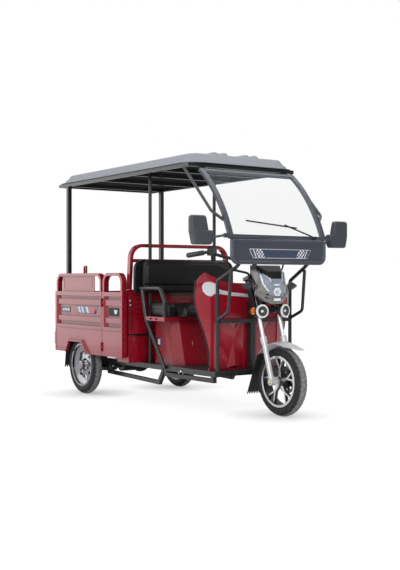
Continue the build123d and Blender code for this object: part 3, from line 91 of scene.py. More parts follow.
class Nodes:
    """A node tree under construction: short calls that add nodes and link them."""

    def __init__(self, tree):
        self.tree = tree
        self.coord = self.node("ShaderNodeTexCoord")

    def node(self, kind, inputs=None, **settings):
        """A new node with its settings, and its inputs by name or number."""
        made = self.tree.nodes.new(kind)
        for key, value in settings.items():
            setattr(made, key, value)
        for key, value in (inputs or {}).items():
            self.feed(made.inputs[key], value)
        return made

    def feed(self, socket, value):
        """Links a socket to another one, or sets it to a plain value."""
        if isinstance(value, bpy.types.NodeSocket):
            self.tree.links.new(value, socket)
        else:
            socket.default_value = value

    def math(self, operation, a, b=0.0):
        return self.node("ShaderNodeMath", {0: a, 1: b}, operation=operation).outputs["Value"]

    def times(self, first, *others):
        for other in others:
            first = self.math("MULTIPLY", first, other)
        return first

    def most(self, first, *others):
        for other in others:
            first = self.math("MAXIMUM", first, other)
        return first

    def plus(self, a, b):
        return self.math("ADD", a, b)

    def minus(self, a, b):
        return self.math("SUBTRACT", a, b)

    def size(self, value):
        return self.math("ABSOLUTE", value)

    def hypot(self, a, b):
        return self.math("SQRT", self.plus(self.times(a, a), self.times(b, b)))

    def vector(self, operation, a, b, output="Vector"):
        return self.node("ShaderNodeVectorMath", {0: a, 1: b}, operation=operation).outputs[output]

    def remap(self, value, low, high, to_low, to_high):
        """The value moved from one range to another, and held to its ends."""
        return self.node("ShaderNodeMapRange", {"Value": value, "From Min": low, "From Max": high,
                                                "To Min": to_low, "To Max": to_high}).outputs["Result"]

    def above(self, value, limit, soft=0.0006):
        """1 where value passes limit, with a thin soft edge."""
        return self.remap(value, limit - soft, limit + soft, 0, 1)

    def below(self, value, limit, soft=0.0006):
        """1 where value stays under limit, with a thin soft edge."""
        return self.minus(1.0, self.above(value, limit, soft))

    def within(self, value, low, high):
        """1 where value lies between two limits."""
        return self.times(self.above(value, low), self.below(value, high))

    def mix(self, share, a, b):
        """Colour a, or b where share is 1."""
        return self.node("ShaderNodeMix", {0: share, 6: a, 7: b}, data_type="RGBA").outputs[2]

    def choose(self, share, a, b):
        """Shader a, or b where share is 1."""
        return self.node("ShaderNodeMixShader", {0: share, 1: a, 2: b}).outputs[0]

    def light(self, kind, colour, strength):
        """A background or an emission shader."""
        return self.node(kind, {"Color": colour, "Strength": strength}).outputs[0]

    def noise(self, scale, detail=4.0, rough=0.5, vector=None):
        return self.node("ShaderNodeTexNoise", {
            "Vector": vector or self.coord.outputs["Object"], "Scale": scale, "Detail": detail,
            "Roughness": rough}).outputs["Fac"]

    def cells(self, scale):
        return self.node("ShaderNodeTexVoronoi", {"Vector": self.coord.outputs["Object"],
                                                  "Scale": scale}).outputs["Distance"]

    def axis(self, letter, source="Object"):
        """One coordinate of the object space, or of the object-space normal."""
        return self.node("ShaderNodeSeparateXYZ", {0: self.coord.outputs[source]}).outputs[letter]

    def distance(self, centre, along):
        """Distance from the line through centre along X, Y or Z."""
        return self.hypot(*(self.minus(self.axis(a), c) for a, c in zip("XYZ", centre) if a != along))

    def folded(self):
        """Object coordinates with the left half laid over the right one."""
        return self.node("ShaderNodeCombineXYZ", {
            0: self.axis("X"), 1: self.size(self.axis("Y")), 2: self.axis("Z")}).outputs[0]

    def slanted(self, centre, direction):
        """Places along and away from a slanted axis that both sides of the vehicle share."""
        offset = self.vector("SUBTRACT", self.folded(), centre)
        along = self.vector("DOT_PRODUCT", offset, direction, "Value")
        square = self.minus(self.vector("DOT_PRODUCT", offset, offset, "Value"), self.times(along, along))
        return along, self.math("SQRT", self.most(square, 0.0))

    def openness(self, reach):
        """1 on open faces, less in creases and recesses closer than reach."""
        occlusion = self.node("ShaderNodeAmbientOcclusion", {"Distance": reach}, samples=8)
        return self.remap(occlusion.outputs["AO"], 0.45, 0.95, 0, 1)


class Shader(Nodes):
    """A material under construction."""

    def __init__(self, name):
        self.material = bpy.data.materials.new(name)
        self.material.use_nodes = True
        self.bsdf = self.material.node_tree.nodes["Principled BSDF"]
        super().__init__(self.material.node_tree)

    def set(self, **values):
        """Feeds the shader's own sockets; a space in a socket's name is written as an underscore."""
        for key, value in values.items():
            self.feed(self.bsdf.inputs[key.replace("_", " ")], value)

    def colour(self):
        """What feeds the base colour so far."""
        return self.bsdf.inputs["Base Color"].links[0].from_socket

    def grained(self, kind, grain):
        """Height of the fine relief: pebbled, in level lines, in upright flow marks, or plain."""
        place = self.coord.outputs["Object"]
        if kind == "pebbled":
            return self.plus(self.cells(grain), self.times(self.noise(grain / 4), 0.5))
        if kind == "lines":
            return self.node("ShaderNodeTexWave", {"Vector": place, "Scale": grain, "Distortion": 0.15},
                             bands_direction="Z").outputs["Fac"]
        if kind == "moulded":
            drawn = self.node("ShaderNodeMapping", {"Vector": place, "Scale": (1, 1, 0.12)})
            return self.noise(grain, 2.0, 0.5, drawn.outputs["Vector"])
        return self.noise(grain, 3.0, 0.55)

    def bump(self, height, strength, depth, bevel):
        """Relief from a height, on edges that a bevel rounds."""
        inputs = {"Height": height, "Strength": strength, "Distance": depth}
        if bevel:
            inputs["Normal"] = self.node("ShaderNodeBevel", {"Radius": bevel}, samples=4).outputs["Normal"]
        self.set(Normal=self.node("ShaderNodeBump", inputs).outputs["Normal"])


# -------------------- finishes
RED = (150, 12, 32)
DUST = linear(150, 140, 128)
CREASE_SHADE = 0.3                        # how dark the painted shade in a recess gets, as a share of the open colour


def surface(name, colour, rough, metal=0.0, coat=0.0, coat_rough=0.06, spec=0.5, alpha=1.0, patch=5.0,
            tint=0.05, rough_shift=0.05, dust=0.0, painted_crease_shade=0.0, reach=0.05, kind="plain", grain=240.0,
            relief=0.05, depth=0.0004, bevel=0.0015):
    """A finish that is never quite even, in a colour written as screen values.

    patch is the scale of slow changes, by tint in colour and by rough_shift in gloss. dust is road dust
    low down. Recesses closer than reach get painted shade: their colour darkens by the share given for
    it, and their coat dulls. kind, grain, relief and depth are the fine relief, and bevel rounds hard edges.
    """
    s = Shader(f"finish_{name}")
    colour = linear(*colour)
    spread = s.remap(s.noise(patch), 0.3, 0.7, 0, 1)
    base = s.mix(spread, scaled(colour, 1 - tint), scaled(colour, 1 + tint))
    s.set(Metallic=metal, Coat_Weight=coat, Coat_Roughness=coat_rough, Specular_IOR_Level=spec, Alpha=alpha)
    if dust:
        low = s.remap(s.axis("Z"), 0.1, 0.75, 1, 0)
        specks = s.remap(s.noise(38.0, 6.0, 0.65), 0.42, 0.72, 0, 1)
        base = s.mix(s.times(low, specks, dust), base, DUST)
    # painted shade: recesses closer than reach take a darker copy of the colour, and their coat is dulled
    if painted_crease_shade:
        open_share = s.openness(reach)
        base = s.mix(s.remap(open_share, 0, 1, painted_crease_shade, 0), base, scaled(colour, CREASE_SHADE))
        s.set(Coat_Weight=s.remap(open_share, 0, 1, coat * (1 - painted_crease_shade), coat))
    gloss = s.remap(s.noise(patch * 6, 5.0, 0.6), 0.3, 0.7, rough - rough_shift, rough + rough_shift)
    s.set(Base_Color=base, Roughness=gloss)
    s.bump(s.grained(kind, grain), relief, depth, bevel)
    return s


SLOT_LOOKS = {
    "frame_black": dict(colour=(26, 27, 29), rough=0.34, coat=0.3, tint=0.12, patch=9, grain=420,
        relief=0.12, dust=0.06, bevel=0.002),
    "body_red": dict(colour=RED, rough=0.25, coat=0.75, tint=0.04, patch=3.5, grain=160, relief=0.03,
        depth=0.0008, bevel=0.002, painted_crease_shade=0.75, reach=0.06),
    "shield_red": dict(colour=(158, 13, 36), rough=0.18, coat=0.9, tint=0.04, patch=2.5, kind="moulded",
        grain=16, relief=0.5, depth=0.004, bevel=0.003, painted_crease_shade=0.5, reach=0.09),
    "fairing_grey": dict(colour=(124, 123, 120), rough=0.3, metal=0.5, coat=0.5, tint=0.04, patch=8,
        grain=1500, bevel=0.0025),
    "silver": dict(colour=(208, 208, 210), rough=0.3, metal=0.2, coat=0.4, tint=0.03, patch=9, grain=300,
        dust=0.05, bevel=0.002),
    "cowl_grey": dict(colour=(62, 66, 76), rough=0.4, coat=0.2, patch=4, grain=700, relief=0.12,
        bevel=0.003),
    "mirror_plastic": dict(colour=(62, 65, 72), rough=0.4, patch=7, kind="lines", grain=34, relief=0.8,
        depth=0.0012, bevel=0.004),
    "board": dict(colour=(17, 18, 20), rough=0.4, tint=0.08, patch=8, grain=600, relief=0.2, bevel=0.003,
        spec=0.3),
    # painted shade: the lining's colour is set near black to stand in for the shade under the roof
    "lining": dict(colour=(34, 34, 34), rough=0.9, tint=0.1, patch=6, grain=500, relief=0.25, bevel=0,
        spec=0.05),
    "mirror_pane": dict(colour=(215, 220, 224), rough=0.04, metal=1.0, tint=0.02, rough_shift=0.02,
        relief=0.01, bevel=0),
    "leather": dict(colour=(22, 23, 25), rough=0.42, coat=0.06, tint=0.10, patch=14, kind="pebbled",
        grain=520, relief=0.3, depth=0.0006, bevel=0, spec=0.38, painted_crease_shade=0.5, reach=0.03),
    "rubber": dict(colour=(24, 25, 27), rough=0.6, tint=0.15, patch=12, grain=300, relief=0.3, dust=0.06,
        bevel=0),
    "tyre": dict(colour=(33, 34, 36), rough=0.66, tint=0.14, patch=16, grain=260, relief=0.3, dust=0.10,
        bevel=0, spec=0.3),
    "spring_steel": dict(colour=(40, 40, 42), rough=0.45, metal=0.6, tint=0.2, patch=20, grain=200,
        relief=0.2, dust=0.2, bevel=0.001),
    "battery": dict(colour=(30, 30, 32), rough=0.6, tint=0.1, patch=8, grain=300, relief=0.2, bevel=0.003),
    "floor_steel": dict(colour=(60, 18, 24), rough=0.4, tint=0.15, patch=10, dust=0.2, bevel=0.001),
    "amber": dict(colour=(232, 128, 22), rough=0.14, coat=0.6, tint=0.08, patch=60, kind="pebbled",
        grain=420, relief=0.6, depth=0.0008, bevel=0.002),
    "tail_red": dict(colour=(176, 12, 16), rough=0.1, coat=0.7, tint=0.08, patch=40, kind="pebbled",
        grain=300, relief=0.6, depth=0.0008, bevel=0.003),
    "lens": dict(colour=(236, 238, 242), rough=0.16, coat=0.6, tint=0.03, patch=60, grain=380, relief=0.4,
        depth=0.0006, bevel=0.001),
    "cover_clear": dict(colour=(186, 196, 212), rough=0.05, coat=1.0, alpha=0.42, tint=0.12, patch=26,
        grain=60, relief=0.02, bevel=0),
    "glass": dict(colour=(150, 156, 162), rough=0.05, spec=0.2, alpha=0.07, tint=0.02, patch=2, grain=8,
        relief=0.02, bevel=0),
}


def roof_grey():
    """Satin grey roof shell, with painted shade: faces that look downwards are darkened to near black."""
    s = surface("roof_grey", (142, 145, 151), 0.44, coat=0.08, tint=0.04, patch=2.0, grain=320,
                bevel=0.004, spec=0.35)
    # painted shade on the faces that look downwards
    underside = s.above(s.times(s.axis("Z", "Normal"), -1.0), 0.25, 0.1)
    s.set(Base_Color=s.mix(underside, s.colour(), linear(40, 40, 41)))
    return s.material


def rim_dark():
    """Cast front wheel: black barrel and spoke sides, machined faces, bright hub and lip, brake disc."""
    spoke_face, hub_radius, hub_face = 0.0085, 0.030, 0.016
    lip_start, lip_edge = 0.1465, 0.1555
    disc_plane, disc_inner, disc_outer = 0.026, 0.045, 0.115
    s = surface("rim_dark", (16, 16, 18), 0.32, coat=0.4, tint=0.1, patch=20, grain=300, relief=0.08)
    radius = s.distance(FRONT_WHEEL, "Y")
    across = s.minus(s.axis("Y"), FRONT_WHEEL.y)
    normal = s.axis("Y", "Normal")
    face = s.times(s.above(s.times(normal, -1.0), 0.72, 0.06),
                   s.above(s.times(across, -1.0), spoke_face, 0.001))
    hub = s.times(s.below(radius, hub_radius), s.above(s.size(across), hub_face))
    lip = s.times(s.above(radius, lip_start), s.above(s.size(normal), 0.35, 0.1))
    bright = s.most(lip, s.above(radius, lip_edge), face, hub)
    disc = s.times(s.above(across, disc_plane), s.within(radius, disc_inner, disc_outer))
    colour = s.mix(disc, s.colour(), linear(92, 92, 95))
    streaks = s.remap(s.noise(60), 0.3, 0.7, -0.04, 0.04)
    s.set(Base_Color=s.mix(bright, colour, linear(226, 226, 228)),
          Metallic=s.most(s.times(bright, 0.8), disc),
          Roughness=s.plus(s.remap(bright, 0, 1, 0.36, 0.2), streaks))
    return s.material


def rim_bright():
    """Polished steel rear wheel whose barrel behind the windows lies in shade."""
    s = surface("rim_bright", (158, 159, 162), 0.16, metal=1.0, tint=0.04, patch=12, grain=260,
                relief=0.04, dust=0.04, bevel=0.002, painted_crease_shade=0.95, reach=0.08)
    centre, hub_radius, rim_radius = REAR_WHEELS[0], 0.03, 0.150
    inwards = s.minus(abs(centre.y), s.size(s.axis("Y")))
    barrel = s.times(s.within(s.distance(centre, "Y"), hub_radius, rim_radius), s.above(inwards, -0.004),
                     s.below(s.size(s.axis("Y", "Normal")), 0.5, 0.1))
    s.set(Base_Color=s.mix(barrel, s.colour(), linear(60, 61, 64)))
    return s.material


def seat_base():
    """Moulded red seat base, duller than the leg shield."""
    return surface("seat_base", RED, 0.3, coat=0.45, coat_rough=0.34, tint=0.04, patch=3, kind="moulded",
                   grain=16, relief=0.6, depth=0.004, bevel=0, painted_crease_shade=0.7, reach=0.06).material


def fork_upper():
    """Fork uppers: polished tubes below the lamps, grey painted yokes above them."""
    s = surface("fork_upper", (236, 236, 236), 0.22, coat=0.4, tint=0.04, patch=14, grain=300,
                bevel=0.002)
    lamp_bottom = LAMP_CENTRE.z - 0.028
    painted = s.above(s.axis("Z"), lamp_bottom, 0.001)
    s.set(Base_Color=s.mix(painted, s.colour(), linear(52, 55, 62)),
          Metallic=s.remap(painted, 0, 1, 0.3, 0.0))
    return s.material


def fork_lamps():
    """Round lamps: dark case, white ring, stepped reflector in dark grey with lighter step edges as painted
    reflection and highlights, white middle.
    """
    s = surface("round_lamp", (44, 45, 48), 0.3, coat=0.5, tint=0.06, patch=30, grain=300, bevel=0.001)
    ring_radius, outer_step, inner_step, bulb_radius = 0.0335, (0.0262, 0.0278), (0.0203, 0.0218), 0.0095
    along, radius = s.slanted(LAMP_CENTRE, LAMP_AXIS)
    front = s.above(along, LAMP_DEPTH - 0.016, 0.0008)
    ring = s.times(s.above(radius, ring_radius), s.above(along, LAMP_DEPTH - 0.010, 0.0008))
    # painted highlights: lighter rings on the reflector's step edges; the reflector's dark grey is painted
    # reflection
    edges = s.most(s.within(radius, *outer_step), s.within(radius, *inner_step))
    inner = s.mix(edges, linear(34, 35, 38), linear(130, 132, 138))
    inner = s.mix(s.below(radius, bulb_radius), inner, linear(240, 240, 238))
    face = s.mix(ring, inner, linear(232, 232, 230))
    s.set(Base_Color=s.mix(front, s.colour(), face))
    return s.material


def headlamp_lens():
    """Headlamp's lens: white rim round a grey faceted reflector, its facets lighter and darker as painted
    reflections.
    """
    s = surface("lens_unit", (244, 245, 248), 0.14, coat=0.6, tint=0.02, patch=60, grain=380,
                relief=0.4, depth=0.0006, bevel=0.001)
    low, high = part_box("headlamp_lens")
    width = high.y - low.y
    radius = s.distance(Vector((0, 0, high.z - width / 2)), "X")
    # painted reflections: the reflector's facets in lighter and darker greys
    painted_facet_reflections = s.remap(s.cells(150), 0.1, 0.6, 0, 1)
    inner = s.mix(painted_facet_reflections, linear(142, 146, 156), linear(214, 217, 224))
    s.set(Base_Color=s.mix(s.above(radius, width * 0.28), inner, s.colour()))
    return s.material


finishes = {slot: surface(slot, **look).material for slot, look in SLOT_LOOKS.items()}
finishes |= {"roof_grey": roof_grey(), "rim_dark": rim_dark(), "rim_bright": rim_bright()}
own_finishes = {"seat_base": seat_base(), "fork_upper": fork_upper(), "fork_lamps": fork_lamps(),
                "headlamp_lens": headlamp_lens()}

for name, node in nodes.items():
    for slot in node.material_slots:
        if slot.material is not None:
            slot.material = own_finishes.get(name, finishes[slot.material.name.split(".")[0]])


# -------------------- mesh helpers
def finished(name, bm):
    """A mesh from a bmesh."""
    mesh = bpy.data.meshes.new(name)
    bm.to_mesh(mesh)
    bm.free()
    return mesh


def linked(name, data):
    """A new object of the scene, from its mesh, camera or lamp data."""
    made = bpy.data.objects.new(name, data)
    scene.collection.objects.link(made)
    return made


def add_mesh(name, bm, body, slot, material=None, smooth=True):
    """A finished bmesh as a piece that rides on a body."""
    piece = linked(name, finished(name, bm))
    if smooth:
        smooth_shaded(piece)
    piece.data.materials.append(material or finishes[slot])
    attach(piece, body)
    return piece


def smooth_shaded(piece):
    piece.data.polygons.foreach_set("use_smooth", [True] * len(piece.data.polygons))


def grid_surface(bm, rows, close_u=False, close_v=False):
    """Quads between rows of points. Returns the vertices."""
    verts = [[bm.verts.new(p) for p in row] for row in rows]
    count_u, count_v = len(verts), len(verts[0])
    for i in range(count_u if close_u else count_u - 1):
        for j in range(count_v if close_v else count_v - 1):
            a, b = verts[i], verts[(i + 1) % count_u]
            bm.faces.new((a[j], a[(j + 1) % count_v], b[(j + 1) % count_v], b[j]))
    return verts


def capped(bm, rings):
    """A closed form through rings of points, with a flat cap at each end."""
    verts = grid_surface(bm, rings, close_v=True)
    bm.faces.new(verts[0][::-1])
    bm.faces.new(verts[-1])


def closed_sheet(bm, top, bottom):
    """A solid sheet between two equal grids of points."""
    upper = grid_surface(bm, top)
    lower = grid_surface(bm, bottom)
    last_u, last_v = len(top) - 1, len(top[0]) - 1
    ring = ([(0, j) for j in range(last_v)] + [(i, last_v) for i in range(last_u)]
            + [(last_u, j) for j in range(last_v, 0, -1)] + [(i, 0) for i in range(last_u, 0, -1)])
    for k, (i, j) in enumerate(ring):
        m, n = ring[(k + 1) % len(ring)]
        bm.faces.new((upper[i][j], upper[m][n], lower[m][n], lower[i][j]))
    bmesh.ops.remove_doubles(bm, verts=bm.verts, dist=0.00005)
    bmesh.ops.recalc_face_normals(bm, faces=bm.faces)


def turns(count):
    """Angles evenly round a circle."""
    return [2 * math.pi * k / count for k in range(count)]


def circle(centre, side, other, radius, count):
    """Points round a centre, in the plane of two directions."""
    return [centre + (side * math.cos(a) + other * math.sin(a)) * radius for a in turns(count)]


def tube(bm, points, radius):
    """A round tube along points."""
    rings = []
    up = Vector((0.13, 0.29, 0.95)).normalized()
    for i, point in enumerate(points):
        along = (points[min(i + 1, len(points) - 1)] - points[max(i - 1, 0)]).normalized()
        side = along.cross(up).normalized()
        up = side.cross(along)
        rings.append(circle(point, side, up, radius, 8))
    capped(bm, rings)


def lathe(bm, origin, axis, profile, count):
    """A turned form: profile is (radius, height along axis) from one end to the other."""
    axis = Vector(axis).normalized()
    side = axis.orthogonal().normalized()
    capped(bm, [circle(origin + axis * height, side, axis.cross(side), radius, count)
                for radius, height in profile])


def hex_bolt(bm, origin, axis, across, height):
    """A chamfered hexagon head on a washer."""
    r = across / math.sqrt(3)
    lathe(bm, origin, axis, [(r * 1.35, 0), (r * 1.35, 0.0012), (r, 0.0012)], 16)
    lathe(bm, origin, axis, [(r, 0.001), (r, height * 0.8), (r * 0.8, height)], 6)


def smooth_path(points, steps):
    """A Catmull-Rom line through points."""
    pts = [points[0], *points, points[-1]]
    out = []
    for p0, p1, p2, p3 in zip(pts, pts[1:], pts[2:], pts[3:]):
        for t in (k / steps for k in range(steps)):
            out.append(0.5 * ((2 * p1) + (p2 - p0) * t + (2 * p0 - 5 * p1 + 4 * p2 - p3) * t * t
                              + (3 * p1 - p0 - 3 * p2 + p3) * t ** 3))
    return out + [points[-1]]


class Skin:
    """The outside of a CAD node, seen along an axis, on which thin pieces are laid."""

    FAR = 4.0
    SUNK = 0.0012                         # how far the pieces' undersides lie inside the node

    def __init__(self, node, axis):
        bm = bmesh.new()
        bm.from_mesh(nodes[node].data)
        self.tree = BVHTree.FromBMesh(bm)
        bm.free()
        self.axis = Vector(axis)

    def onto(self, point):
        """The point moved along the axis onto the skin."""
        hit = self.tree.ray_cast(point + self.axis * self.FAR, -self.axis, 2 * self.FAR)[0]
        if hit is None:
            raise RuntimeError(f"nothing under {tuple(point)}")
        return hit

    def lay(self, bm, pairs, across, lift):
        """A thin sheet between left and right points, its face lift above the skin."""
        rows = [[self.onto(left.lerp(right, k / across)) for k in range(across + 1)] for left, right in pairs]
        closed_sheet(bm, [[q + self.axis * lift for q in row] for row in rows],
                     [[q - self.axis * self.SUNK for q in row] for row in rows])


def swept_pairs(points, widths, steps=5):
    """Left and right points along a line, width apart, square to it as seen from ahead."""
    centres = []
    for start, end, w0, w1 in zip(points, points[1:], widths, widths[1:]):
        centres += [(start.lerp(end, t), w0 + (w1 - w0) * t) for t in (i / steps for i in range(steps))]
    centres.append((points[-1], widths[-1]))
    pairs = []
    for k, (point, width) in enumerate(centres):
        before, after = centres[max(k - 1, 0)][0], centres[min(k + 1, len(centres) - 1)][0]
        side = (after - before).cross(FORWARD).normalized() * (width / 2)
        pairs.append((point - side, point + side))
    return pairs


def rounded_rows(low, high, corner, steps=4):
    """Rows of a rounded rectangle from low to high: (height, inset at both ends)."""
    quarter = [math.pi / 2 * k / steps for k in range(steps + 1)]
    ends = [(corner * (1 - math.cos(a)), corner * (1 - math.sin(a))) for a in quarter]
    return ([(low + rise, inset) for rise, inset in ends]
            + [(low + (high - low) * t, 0.0) for t in (0.3, 0.5, 0.7)]
            + [(high - rise, inset) for rise, inset in reversed(ends)])


# -------------------- tyres
TREAD_PITCHES = 44
PITCH_STEPS = 8
TREAD_ROWS = 22
BEAD_WIDTH = 0.012


def tread_finish(name, centre, radius):
    """Tyre rubber, with the tops of the tread blocks scuffed to a lighter grey, and painted shade in the
    grooves.
    """
    reach = 0.006
    s = surface(name, **SLOT_LOOKS["tyre"], painted_crease_shade=0.8, reach=reach)
    scuffs = s.remap(s.noise(70.0, 5.0, 0.6), 0.35, 0.65, 0.5, 1)
    worn = s.times(s.above(s.distance(centre, "Y"), radius - 0.010, 0.002), scuffs)
    # the scuffed grey goes only on open faces, so the grooves keep their painted shade
    tops = s.mix(s.openness(reach), s.colour(), linear(150, 150, 151))
    s.set(Base_Color=s.mix(worn, s.colour(), tops))
    return s.material


def tyre_profile(radius, half, bead, shoulder):
    """(radius, y, whether it is tread) across the tyre, from the left bead to the right one."""
    wall = [(bead + t * BEAD_WIDTH, half - 0.010 + 0.004 * t, False) for t in (k / 4 for k in range(5))]
    for t in (k / 8 for k in range(1, 9)):
        y = half - 0.0065 - 0.002 * t + 0.006 * math.sin(math.pi * t)
        wall.append((bead + BEAD_WIDTH + t * (shoulder - bead - BEAD_WIDTH), y, False))
    edge = half - 0.008
    tread = []
    for k in range(1, TREAD_ROWS):
        y = edge * (1 - 2 * k / TREAD_ROWS)
        tread.append((radius - (radius - shoulder) * (abs(y) / edge) ** 2.2, y, True))
    return wall + tread + [(r, -y, is_tread) for r, y, is_tread in reversed(wall)]


def tread_cut(share, phase):
    """Depth of the grooves and sipes at a share of the half width and a phase of the pitch."""
    if share > 0.56:                      # gaps between the shoulder blocks
        return 0.0045 if phase < 0.24 else 0
    if share > 0.46:                      # outer groove
        return 0.0045
    if 0.24 < share < 0.34:               # inner groove
        return 0.0035
    if share < 0.12:                      # sipes of the centre rib
        return 0.0035 if phase < 0.2 else 0
    return 0.003 if phase > 0.8 else 0    # sipes of the ribs beside it


def tyre(name, body, node):
    """A road tyre: ribbed centre, block shoulders with sipes, and a rounded sidewall with rings."""
    low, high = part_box(node)
    centre = (low + high) / 2
    radius, half = (high.z - low.z) / 2 - 0.0001, (high.y - low.y) / 2
    bead, shoulder = radius - 0.0665, radius - 0.017
    profile = tyre_profile(radius, half, bead, shoulder)
    rows = []
    for i, angle in enumerate(turns(TREAD_PITCHES * PITCH_STEPS)):
        # the blocks of the two shoulders are half a pitch apart
        phases = [(i + shift) % PITCH_STEPS / PITCH_STEPS for shift in (PITCH_STEPS // 2, 0)]
        row = []
        for r, y, is_tread in profile:
            phase = phases[y > 0]
            if is_tread:
                r -= tread_cut(abs(y) / half, phase)
            elif r > shoulder - 0.012 and phase < 0.24:     # notches beside the blocks
                y -= math.copysign(0.0022, y)
            elif r < bead + 0.02:                           # rings next to the bead
                y += math.copysign(0.0007, y) * math.cos((r - bead) * 900)
            row.append(centre + Vector((r * math.cos(angle), y, r * math.sin(angle))))
        rows.append(row)
    bm = bmesh.new()
    grid_surface(bm, rows, close_u=True, close_v=True)
    bmesh.ops.recalc_face_normals(bm, faces=bm.faces)
    piece = add_mesh(name, bm, body, "tyre", tread_finish(name, centre, radius))
    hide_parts(node)


tyre("front_tread", "front_wheel", "front_tyre")
for _, end in SIDES:
    tyre(f"rear_tread_{end}", f"rear_wheel_{end}", f"rear_tyre_{end}")


# -------------------- seat
SEAT_LOW, SEAT_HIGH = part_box("seat_cushion")
BACK_LOW, BACK_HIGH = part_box("backrest")
BACK_HALF = (BACK_HIGH.y - BACK_LOW.y) / 2
BACK_CORNER = 0.062
BACK_BAND = BACK_LOW.z + 0.052            # top of the backrest's lower band
PAD_VOXEL = 0.006
PAD_FRAMES = 20
PAD_SWELL = 0.012                         # the most that a point of a pad may move
SEAM_HEIGHT, SEAM_DEPTH, SEAM_WIDTH = SEAT_LOW.z + 0.050, 0.0035, 0.0045


def rounded_pad(low, high, crown, edge, corner, lean=0.0):
    """A closed pad with rounded corners and edges; its top rises by crown in the middle."""
    centre, half = (low + high) / 2, (high - low) / 2
    bm = bmesh.new()
    bmesh.ops.create_cube(bm, size=2.0)
    bmesh.ops.subdivide_edges(bm, edges=bm.edges[:], cuts=14, use_grid_fill=True)
    for v in bm.verts:
        x, y, z = v.co
        px, py, pz = x * half.x, y * half.y, z * half.z
        # rounded corners seen from above
        over_x, over_y = abs(px) - (half.x - corner), abs(py) - (half.y - corner)
        if over_x > 0 and over_y > 0:
            length, reach = math.hypot(over_x, over_y), max(over_x, over_y)
            px = math.copysign(half.x - corner + over_x / length * reach, px)
            py = math.copysign(half.y - corner + over_y / length * reach, py)
        # edges roll over towards the top and the bottom
        inset = edge * (z ** 3 if z > 0 else 0.3 * abs(z) ** 3)
        if z > 0:
            pz *= 1 - 0.25 * max(abs(x) ** 6, abs(y) ** 6) * z
            pz += crown * (1 - x * x) ** 0.7 * (1 - abs(y) ** 4) * z
        px -= math.copysign(min(inset, abs(px)), px) * abs(x)
        py -= math.copysign(min(inset, abs(py)), py) * abs(y)
        v.co = centre + Vector((px, py, pz + lean * (px / half.x)))
    return bm


def apply_modifiers(piece):
    """Makes the piece's evaluated mesh its own, with the same finish."""
    material = piece.data.materials[0]
    shown = piece.evaluated_get(bpy.context.evaluated_depsgraph_get())
    mesh = bpy.data.meshes.new_from_object(shown)
    piece.modifiers.clear()
    piece.data = mesh
    mesh.materials.clear()
    mesh.materials.append(material)


def swell(piece):
    """Swells a pad with a cloth simulation that holds its underside."""
    held = piece.vertex_groups.new(name="held")
    low_edge = SEAT_LOW.z + 0.012
    held.add([v.index for v in piece.data.vertices if v.co.z < low_edge], 1.0, "REPLACE")
    cloth = piece.modifiers.new("cloth", "CLOTH").settings
    cloth.quality = 5
    cloth.mass = 0.4
    cloth.tension_stiffness = cloth.compression_stiffness = 12
    cloth.bending_stiffness = 3
    cloth.use_pressure = True
    cloth.uniform_pressure_force = 3.0
    cloth.effector_weights.gravity = 0
    cloth.vertex_group_mass = held.name
    for step in range(1, PAD_FRAMES + 1):
        scene.frame_set(step)
    rest = [v.co.copy() for v in piece.data.vertices]
    apply_modifiers(piece)
    for v, start in zip(piece.data.vertices, rest):
        move = v.co - start
        if move.length > PAD_SWELL:
            v.co = start + move * (PAD_SWELL / move.length)
    scene.frame_set(1)


def soften(mesh):
    """Evens out the sharpest wrinkles."""
    bm = bmesh.new()
    bm.from_mesh(mesh)
    for _ in range(10):
        bmesh.ops.smooth_vert(bm, verts=bm.verts, factor=0.5, use_axis_x=True, use_axis_y=True,
                              use_axis_z=True)
    bm.to_mesh(mesh)
    bm.free()


def press_seam(piece):
    """Presses the seam round a pad, and keeps the pad inside the cushion's box."""
    for v in piece.data.vertices:
        off = v.co.z - SEAM_HEIGHT
        if abs(off) < 3 * SEAM_WIDTH:
            v.co += v.normal * (-SEAM_DEPTH * math.exp(-(off / SEAM_WIDTH) ** 2))
        v.co = Vector([min(max(c, a), b) for c, a, b in zip(v.co, SEAT_LOW, SEAT_HIGH)])


def seat_pad(name, low, high, **shape):
    """One pad of the bench cushion, swollen and seamed."""
    piece = add_mesh(name, rounded_pad(low, high, **shape), "chassis", "leather")
    remesh = piece.modifiers.new("voxels", "REMESH")
    remesh.mode = "VOXEL"
    remesh.voxel_size = PAD_VOXEL
    apply_modifiers(piece)
    swell(piece)
    soften(piece.data)
    smooth_shaded(piece)
    press_seam(piece)
    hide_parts("seat_cushion")


def seat_cushion():
    """Bench cushion: a wide middle that rolls over at the front, between two firmer side pads."""
    rear, bottom = SEAT_LOW.x + 0.006, SEAT_LOW.z
    seat_pad("seat_middle", Vector((rear, -0.30, bottom)),
             Vector((SEAT_HIGH.x - 0.008, 0.30, bottom + 0.070)),
             crown=0.010, edge=0.018, corner=0.03)
    for side, end in SIDES:
        y0, y1 = sorted((side * 0.296, side * (SEAT_HIGH.y - 0.006)))
        seat_pad(f"seat_pad_{end}", Vector((rear, y0, bottom)),
                 Vector((SEAT_LOW.x + 0.27, y1, SEAT_HIGH.z - 0.012)),
                 crown=0.004, edge=0.012, corner=0.018, lean=-0.006)


def back_point(y, z):
    """A point of the backrest's panel, moved onto its rounded outline, and its depth inside that."""
    over_y, over_z = abs(y) - (BACK_HALF - BACK_CORNER), z - (BACK_HIGH.z - BACK_CORNER)
    if over_y <= 0 or over_z <= 0:
        return y, z, min(BACK_HALF - abs(y), BACK_HIGH.z - z)
    reach = math.hypot(over_y, over_z)
    if reach <= BACK_CORNER:
        return y, z, BACK_CORNER - reach
    y = math.copysign(BACK_HALF - BACK_CORNER + over_y / reach * BACK_CORNER, y)
    return y, BACK_HIGH.z - BACK_CORNER + over_z / reach * BACK_CORNER, 0


